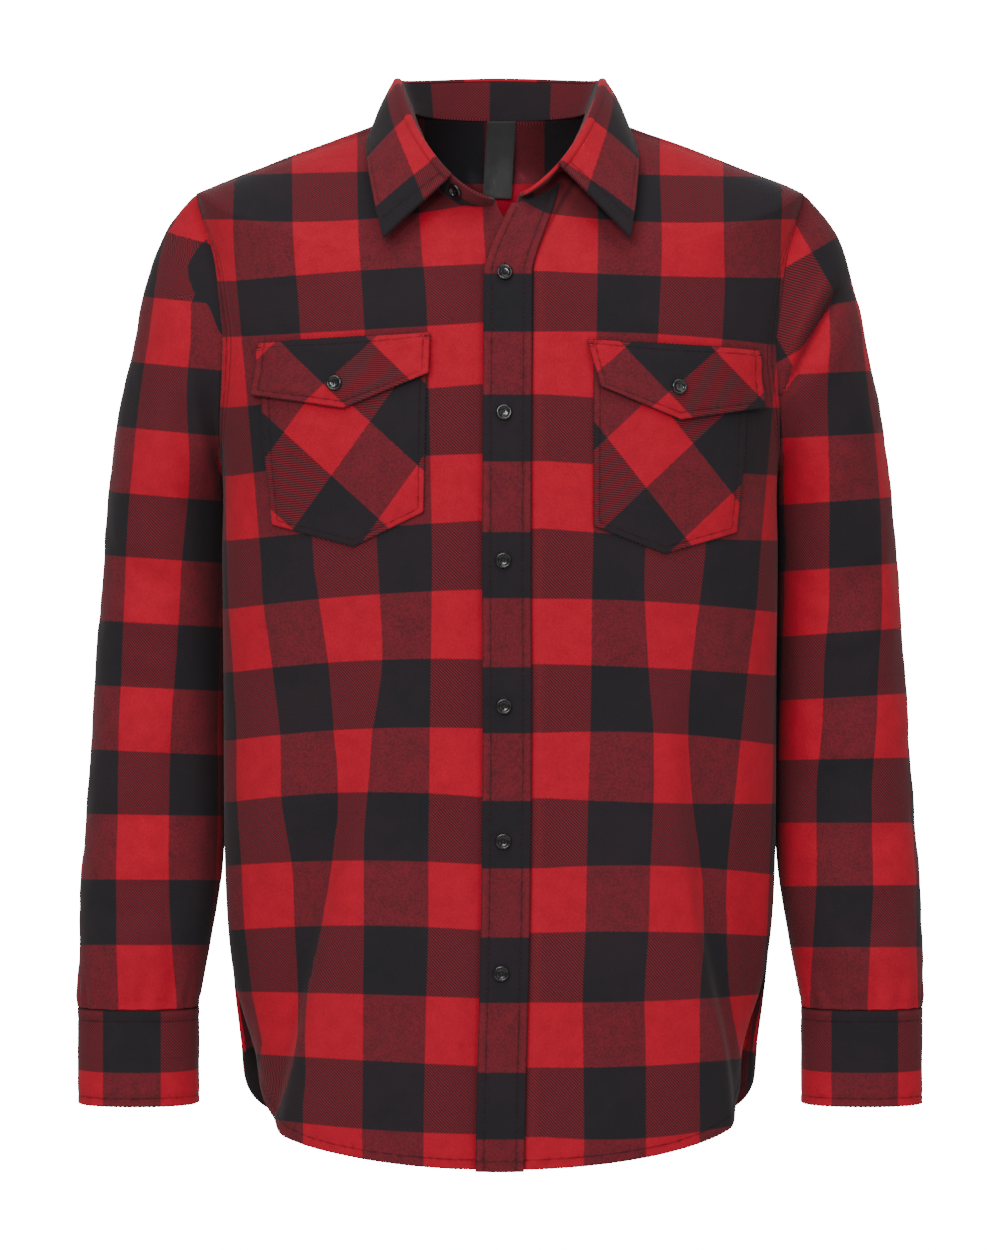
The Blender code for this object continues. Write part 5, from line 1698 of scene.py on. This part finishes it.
# bias checks: seen x and z of a crossing, then angle and period in millimetres of the two directions
patchChecks = {
    "pocket": {-1: (-122.0, -277.5, 42.5, 46.432, -54.5, 47.883),
               1: (105.8, -286.3, 52, 45.7065, -43.5, 46.432)},
    "flap": {-1: (-127.5, -211.5, 44, 45.7065, -42, 45.7065), 1: (121.9, -217.5, 46, 44.981, -41, 44.981)},
}
patches = {
    "lift": 0.0008, "over": 0.0010, "loose": 0.0006, "cornerLoose": 0.0016,
    "stitch": 0.0048, "topStitch": 0.0055,
    "pitch": {"pitch": 0.0032, "length": 0.0024}, "tack": {"pitch": 0.01, "length": 0.005, "wide": 1.6},
    "pocket": {"wall": panelWall, "rim": 0.0004, "rows": 24, "flat": (0.12, 0.14), "lines": (0.0048,),
               "shift": 0},
    "flap": {"wall": 0.0018, "rim": 0.0006, "rows": 12, "flat": (0.128, 0.053), "lines": (0.0035, 0.0062),
             "shift": 1},
}


def patchPlace(corners, across, down):
    topIn, topOut, baseIn, baseOut, tip = corners
    tipShare = (tip.x - baseIn.x) / (baseOut.x - baseIn.x)
    if across <= 0:
        share, base = tipShare * (across + 1), baseIn.lerp(tip, across + 1)
    else:
        share, base = mix(tipShare, 1, across), tip.lerp(baseOut, across)
    return topIn.lerp(topOut, share).lerp(base, down)


def biasChecks(kind, side):
    xMiddle, zMiddle, angleA, sizeA, angleB, sizeB = patchChecks[kind][side]
    a, b = (Vector((math.cos(math.radians(angle)), -math.sin(math.radians(angle)))) * size
            for angle, size in ((angleA, sizeA), (angleB, sizeB)))
    area, shift = a.x * b.y - a.y * b.x, patches[kind]["shift"]

    def checkAt(i, j, point):
        x, z = seen(point)
        x, z = x - xMiddle, z - zMiddle
        return (x * b.y - z * b.x) / area + shift, (a.x * z - a.y * x) / area + shift

    return pointwise(checkAt)


def makePatch(kind, side):
    look, isFlap, word = patches[kind], kind == "flap", words[side]
    name, node, host = ((word + "Flap", f"pocket_flap_{word}", word + "Pocket") if isFlap
                        else (word + "Pocket", f"pocket_{word}", word + "Front"))
    corners = [Vector(corner) for corner in patchCorners[kind][side]]
    wide, tall = abs(corners[1].x - corners[0].x), abs(corners[4].y - corners[0].y)
    across = mirrored(steps(0, 0.91, 22) + [0.91, 0.94, 0.965, 0.985, 1])
    down = [0, 0.02, 0.05, 0.09] + steps(0.13, 0.87, look["rows"]) + [0.87, 0.9, 0.93, 0.96, 0.985, 1]
    rise = patches["pocket"]["wall"] + patches["over"]

    def form(a, d):
        place = patchPlace(corners, a, d)
        lift = patches["lift"]
        if isFlap:                      # its free edge stands off, more at the corners
            lift += rise * min(d / 0.15, 1)
            corner = patches["cornerLoose"] * smooth((abs(a) - 0.3) / 0.7)
            lift += smooth((d - 0.35) / 0.65) * (patches["loose"] + corner)
        return bodyAt(place.x, place.y, lift)

    def awayFrom(a, d):
        # how far the free edges and the top edge are
        return min((1 - abs(a)) * wide / 2, (1 - d) * tall), d * tall

    def relief(a, d, point):
        away, top = awayFrom(a, d)
        total = groove(away, patches["stitch"], 0.001, 0.4)
        if isFlap:
            total += groove(top, patches["topStitch"], 0.0011, 0.4)
            total += 0.9 * bell(a, 0.45) * smooth((d - 0.3) / 0.5)
        else:
            total += 0.7 * bell(a + 0.2, 0.5) * math.sin(math.pi * min(d * 1.1, 1))
        near = bell(away - patches["stitch"], 0.004)
        total += 0.3 * near * ripple(a * 60, d * 100, side * 7, 7, 81)
        total += 0.45 * ripple(a * 60, top * 1000, side * 7, 22, 83) * smooth(away / 0.012)
        return (total - 0.3 * bell(away, 0.001)) * mm

    def seam(a, d, point):
        away, top = awayFrom(a, d)
        line = away - patches["stitch"]
        if isFlap:
            line, away = min(line, top - patches["topStitch"], key=abs), min(away, top)
        return line / mm, away / mm

    thing = cloth(name, node, "flannel_dark", across, down, form, look["wall"], biasChecks(kind, side),
                  relief, offset=1, rim=look["rim"], seam=seam)
    grid = grids[name]
    first, last = [row[0] for row in grid], [row[-1] for row in grid]
    for inset in look["lines"]:
        stitchRow(name, first, -side * inset, **patches["pitch"])
        stitchRow(name, last, side * inset, **patches["pitch"])
        if isFlap:
            stitchRow(name, grid[0], side * inset, **patches["pitch"])
    stitchRow(name, grid[-1], -side * patches["stitch"], **patches["pitch"])
    for line, inward in ((first, 0.004), (last, -0.004)):       # bar tacks at the top corners
        end = (grid[0][1] - grid[0][0]).normalized() * inward
        for k in range(4):
            spot = line[2] + (line[6] - line[2]) * 0.12 * k
            stitchRow(name, [spot, spot + end], **patches["tack"])
    makeStitches(name)


makePlacket()
for side in (-1, 1):
    makePatch("pocket", side)
    makePatch("flap", side)

print("stage: label")
label = {"x": (-0.0100, 0.0125), "slant": 0.0034, "z": (0.0026, -0.0535), "width": 0.0225, "length": 0.06,
         "lift": 0.0007, "swing": 0.0035, "wall": 0.0010}


def makeLabel():
    across, down = [k / 14 for k in range(15)], [k / 34 for k in range(35)]

    def form(a, d):
        x, z = mix(*label["x"], a) - label["slant"] * d, mix(*label["z"], d)
        level = levelWhere(lambda tried: ringAt(tried).zBack, z, 0.5)
        side, turn = sideOf(x), math.pi - math.asin(abs(x) / ringAt(level).halfWidth)
        lift = panelWall + label["lift"] + label["swing"] * d
        return torso(side, turn, level) - torsoNormal(side, turn, level) * lift

    def relief(a, d, point):
        return (0.5 * math.cos(2 * math.pi * (a - 0.5)) * d + 0.25 * ripple(a * 20, 0, d * 50, 18, 91)) * mm

    shape = label["width"] / label["length"]
    thing = cloth("neckLabel", "neck_label", "label", across, down, form, label["wall"],
                  pointwise(lambda i, j, point: (across[i] * shape, down[j])), relief, offset=-1, rim=0.0003)


makeLabel()

print("stage: buttons")
button = {"radius": 0.0058, "depth": 0.0024, "lift": 0.0005, "holeRing": 0.00125, "hole": 0.00048,
          "threadWidth": 0.00017, "threadHeight": 0.00028, "threadGap": 0.00022,
          # radius and height of the outline, as shares
          "outline": ((0.0, 0.40), (0.46, 0.41), (0.58, 0.50), (0.65, 0.76), (0.72, 0.94), (0.81, 1.0),
                      (0.91, 0.94), (0.975, 0.76), (1.0, 0.55), (0.97, 0.30), (0.86, 0.05), (0.70, 0.0),
                      (0.0, 0.0)),
          # z and turn of those on the placket, and x and z of those on the flaps
          "front": ((-0.1300, 0.5), (-0.2320, 0.2), (-0.3390, -0.3), (-0.4450, 0.7), (-0.5430, -0.1),
                    (-0.6390, 0.35)),
          "fromEdge": 0.0152, "flap": {-1: (-0.1189, -0.2105), 1: (0.1285, -0.2130)}, "flapBulge": 0.00072,
          "flapTurn": 0.4, "cuffTurn": 0.2, "standTurn": 0.6,
          # where on the collar stand: turn from the front, and share of its height
          "stand": (math.radians(21.4), 0.56)}
buttonhole = {"length": 0.0155, "width": 0.0009, "end": 0.0012, "cord": 0.00032, "bumps": 0.18,
              "pitch": 0.0008, "sunk": 0.00012}


def spun(bm, geom, count, merge):
    bmesh.ops.spin(bm, geom=geom, cent=(0, 0, 0), axis=(0, 0, 1), angle=2 * math.pi, steps=count,
                   use_merge=True)
    bmesh.ops.remove_doubles(bm, verts=bm.verts, dist=merge)


def buttonMesh():
    bm = bmesh.new()
    verts = [bm.verts.new((button["radius"] * r, 0, button["depth"] * h)) for r, h in button["outline"]]
    spun(bm, verts + [bm.edges.new(pair) for pair in zip(verts, verts[1:])], 32, 0.00001)
    bmesh.ops.recalc_face_normals(bm, faces=bm.faces)
    blank = bpy.data.objects.new("buttonBlank", meshOf(bm, "buttonBlank"))
    bm = bmesh.new()
    for k in range(4):
        angle = math.radians(45 + 90 * k)
        place = Vector((math.cos(angle), math.sin(angle), 0)) * button["holeRing"]
        place.z = button["depth"] / 2
        bmesh.ops.create_cone(bm, cap_ends=True, segments=12, radius1=button["hole"], radius2=button["hole"],
                              depth=0.006, matrix=Matrix.Translation(place))
    cutter = bpy.data.objects.new("buttonHoles", meshOf(bm, "buttonHoles"))
    for thing in (blank, cutter):
        bpy.context.scene.collection.objects.link(thing)
    cut = blank.modifiers.new("holes", "BOOLEAN")
    cut.operation, cut.object, cut.solver = "DIFFERENCE", cutter, "EXACT"
    bpy.context.view_layer.update()
    ready = bpy.data.meshes.new_from_object(blank.evaluated_get(bpy.context.evaluated_depsgraph_get()))
    for thing in (blank, cutter):
        bpy.data.objects.remove(thing)
    ready.shade_smooth()
    ready.set_sharp_from_angle(angle=math.radians(40))
    return ready


def threadMesh():
    # two crossed bridges of thread through the holes
    bm = bmesh.new()
    size = (button["holeRing"] * 1.25, button["threadWidth"], button["threadHeight"])
    size = Matrix.Diagonal(size).to_4x4() @ Matrix.Rotation(math.radians(90), 4, "Y")
    for angle in (45, 135):
        for shift in (-1, 0, 1):
            made = bmesh.ops.create_uvsphere(bm, u_segments=6, v_segments=8, radius=1)
            turn = Matrix.Rotation(math.radians(angle), 4, "Z")
            place = Matrix.Translation(Vector((0, shift * button["threadGap"], button["depth"] * 0.45)))
            bmesh.ops.transform(bm, matrix=turn @ place @ size, verts=made["verts"])
    mesh = meshOf(bm, "buttonThread")
    mesh.shade_smooth()
    return mesh


def holeMesh():
    # a worked buttonhole: a narrow ring of close stitches
    bm = bmesh.new()
    start = Matrix.Translation((buttonhole["width"], 0, 0)) @ Matrix.Rotation(math.radians(90), 4, "X")
    bmesh.ops.create_circle(bm, segments=6, radius=buttonhole["cord"], matrix=start)
    spun(bm, list(bm.verts) + list(bm.edges), 40, 0.000005)
    for vert in bm.verts:
        if abs(vert.co.y) > 1e-5:
            vert.co.y += math.copysign(buttonhole["length"] / 2 - buttonhole["end"], vert.co.y)
        vert.co.z *= 1 + buttonhole["bumps"] * math.sin(vert.co.y * 2 * math.pi / buttonhole["pitch"])
    bmesh.ops.recalc_face_normals(bm, faces=bm.faces)
    mesh = meshOf(bm, "buttonhole")
    mesh.shade_smooth()
    return mesh


drilled, oneThread, oneHole = buttonMesh(), threadMesh(), holeMesh()


def addCopy(name, mesh, matrix, finish, nodes=()):
    copy = mesh.copy()
    copy.name = name
    copy.transform(matrix)
    addPiece(name, copy, finish, nodes)


def makeButton(node, name, centre, facing, spin=0.0, hole=None):
    turn = facing.to_track_quat("Z", "Y").to_matrix().to_4x4()
    matrix = Matrix.Translation(centre) @ turn @ Matrix.Rotation(spin, 4, "Z")
    addCopy(name, drilled, matrix, "button", [node])
    addCopy(name + "Thread", oneThread, matrix, "thread")
    if hole is not None:
        foot = Matrix.Translation(centre - facing * (button["lift"] - buttonhole["sunk"]))
        addCopy(name + "Buttonhole", oneHole, foot @ turn @ Matrix.Rotation(hole, 4, "Z"), "thread")


def facingAt(x, z):
    return (bodyAt(x, z, 0.01) - bodyAt(x, z)).normalized()


def makeButtons():
    onPlacket = placket["lift"] + placket["wall"] + button["lift"]
    for number, (z, spin) in enumerate(button["front"], start=1):
        x = freeEdgeX(z) + button["fromEdge"]
        facing = (facingAt(x, z) + Vector((0.03 * spin, 0, 0.02))).normalized()
        makeButton(f"button_front_{number}", f"frontButton{number}", bodyAt(x, z, onPlacket), facing, spin,
                   hole=0.0)
    onFlap = (patches["lift"] + patches["pocket"]["wall"] + patches["over"] + patches["flap"]["wall"]
              + button["lift"] + button["flapBulge"])
    for side, word in words.items():
        x, z = button["flap"][side]
        makeButton(f"button_pocket_{word}", f"{word}FlapButton", bodyAt(x, z, onFlap), facingAt(x, z),
                   button["flapTurn"], hole=0.0)
        angle = -cuff["start"] + cuff["lap"] / 2
        z = (cuff["top"] + cuff["bottom"]) / 2
        onCuff = cuffOval(side, angle, z, cuff["wall"] + cuff["lapGap"])
        around = cuffOval(side, angle + 0.05, z) - cuffOval(side, angle - 0.05, z)
        out = Vector((0, 0, 1)).cross(around).normalized()
        if out.dot(onCuff - Vector((side * cuff["x"], cuff["y"], z))) < 0:
            out = -out
        makeButton(f"button_cuff_{word}", f"{word}CuffButton", onCuff + out * button["lift"], out,
                   button["cuffTurn"], hole=math.pi / 2)
    spot = standPoint(*button["stand"])
    out = surfaces["collarStand"][0].find_nearest(spot)[1]
    makeButton("button_stand", "standButton", spot + out * (stand["wall"] / 2 + button["lift"]), out,
               button["standTurn"])


makeButtons()
for mesh in (oneStitch, drilled, oneThread, oneHole):
    bpy.data.meshes.remove(mesh)

print("stage: floor and light")
studio = {
    "world": 0.385, "backdrop": 18.0, "floorZ": -1.35, "floorSize": 2.4,
    "floorLook": {"Base Color": (0.86, 0.86, 0.85, 1), "Roughness": 0.8},
    # name, place, aim, width, height, power and spread
    "lights": (
        ("softLeft", (-1.6, -3.2, 1.4), (0, 0, -0.25), 1.3, 1.6, 44, 180),
        ("softRight", (2.2, -3.2, 0.9), (0, 0, -0.25), 2.0, 2.2, 22, 180),
        ("softFront", (-0.4, -3.4, 0.6), (0, 0, -0.15), 0.9, 0.7, 38, 180),
        ("neckFill", (0.02, -1.9, 0.44), (0.01, 0.1, -0.07), 0.05, 0.05, 0.012, 3),
        ("softTop", (0.0, -1.4, 2.6), (0, 0, -0.3), 2.4, 1.8, 42, 180),
        ("softBack", (0.0, 3.2, 1.6), (0, 0, -0.35), 2.6, 2.0, 45, 180),
    ),
}


def makeWorld():
    # an even light all round, and a bright backdrop that only the camera sees
    world = bpy.data.worlds.new("studio")
    bpy.context.scene.world = world
    world.use_nodes = True
    tree = world.node_tree
    tree.nodes.clear()
    out, path, pick = (tree.nodes.new("ShaderNode" + kind)
                       for kind in ("OutputWorld", "LightPath", "MixShader"))
    tree.links.new(path.outputs["Is Camera Ray"], pick.inputs[0])
    for socket, strength in ((1, studio["world"]), (2, studio["backdrop"])):
        glow = tree.nodes.new("ShaderNodeBackground")
        glow.inputs[0].default_value, glow.inputs[1].default_value = (1, 1, 1, 1), strength
        tree.links.new(glow.outputs[0], pick.inputs[socket])
    tree.links.new(pick.outputs[0], out.inputs[0])


def makeStudio():
    makeWorld()
    for name, place, aim, width, height, power, spread in studio["lights"]:
        data = bpy.data.lights.new(name, "AREA")
        data.spread = math.radians(spread)
        data.shape, data.size, data.size_y, data.energy = "RECTANGLE", width, height, power
        thing = bpy.data.objects.new(name, data)
        thing.location = place
        thing.rotation_euler = (Vector(aim) - Vector(place)).to_track_quat("-Z", "Y").to_euler()
        bpy.context.scene.collection.objects.link(thing)
    bm = bmesh.new()
    bmesh.ops.create_grid(bm, x_segments=1, y_segments=1, size=studio["floorSize"],
                          matrix=Matrix.Translation((0, 0, studio["floorZ"])))
    floor = bpy.data.objects.new("floor", meshOf(bm, "floor"))
    floor.data.materials.append(Shader("paleFloor", studio["floorLook"]).material)
    bpy.context.scene.collection.objects.link(floor)


makeStudio()


print("stage: done")
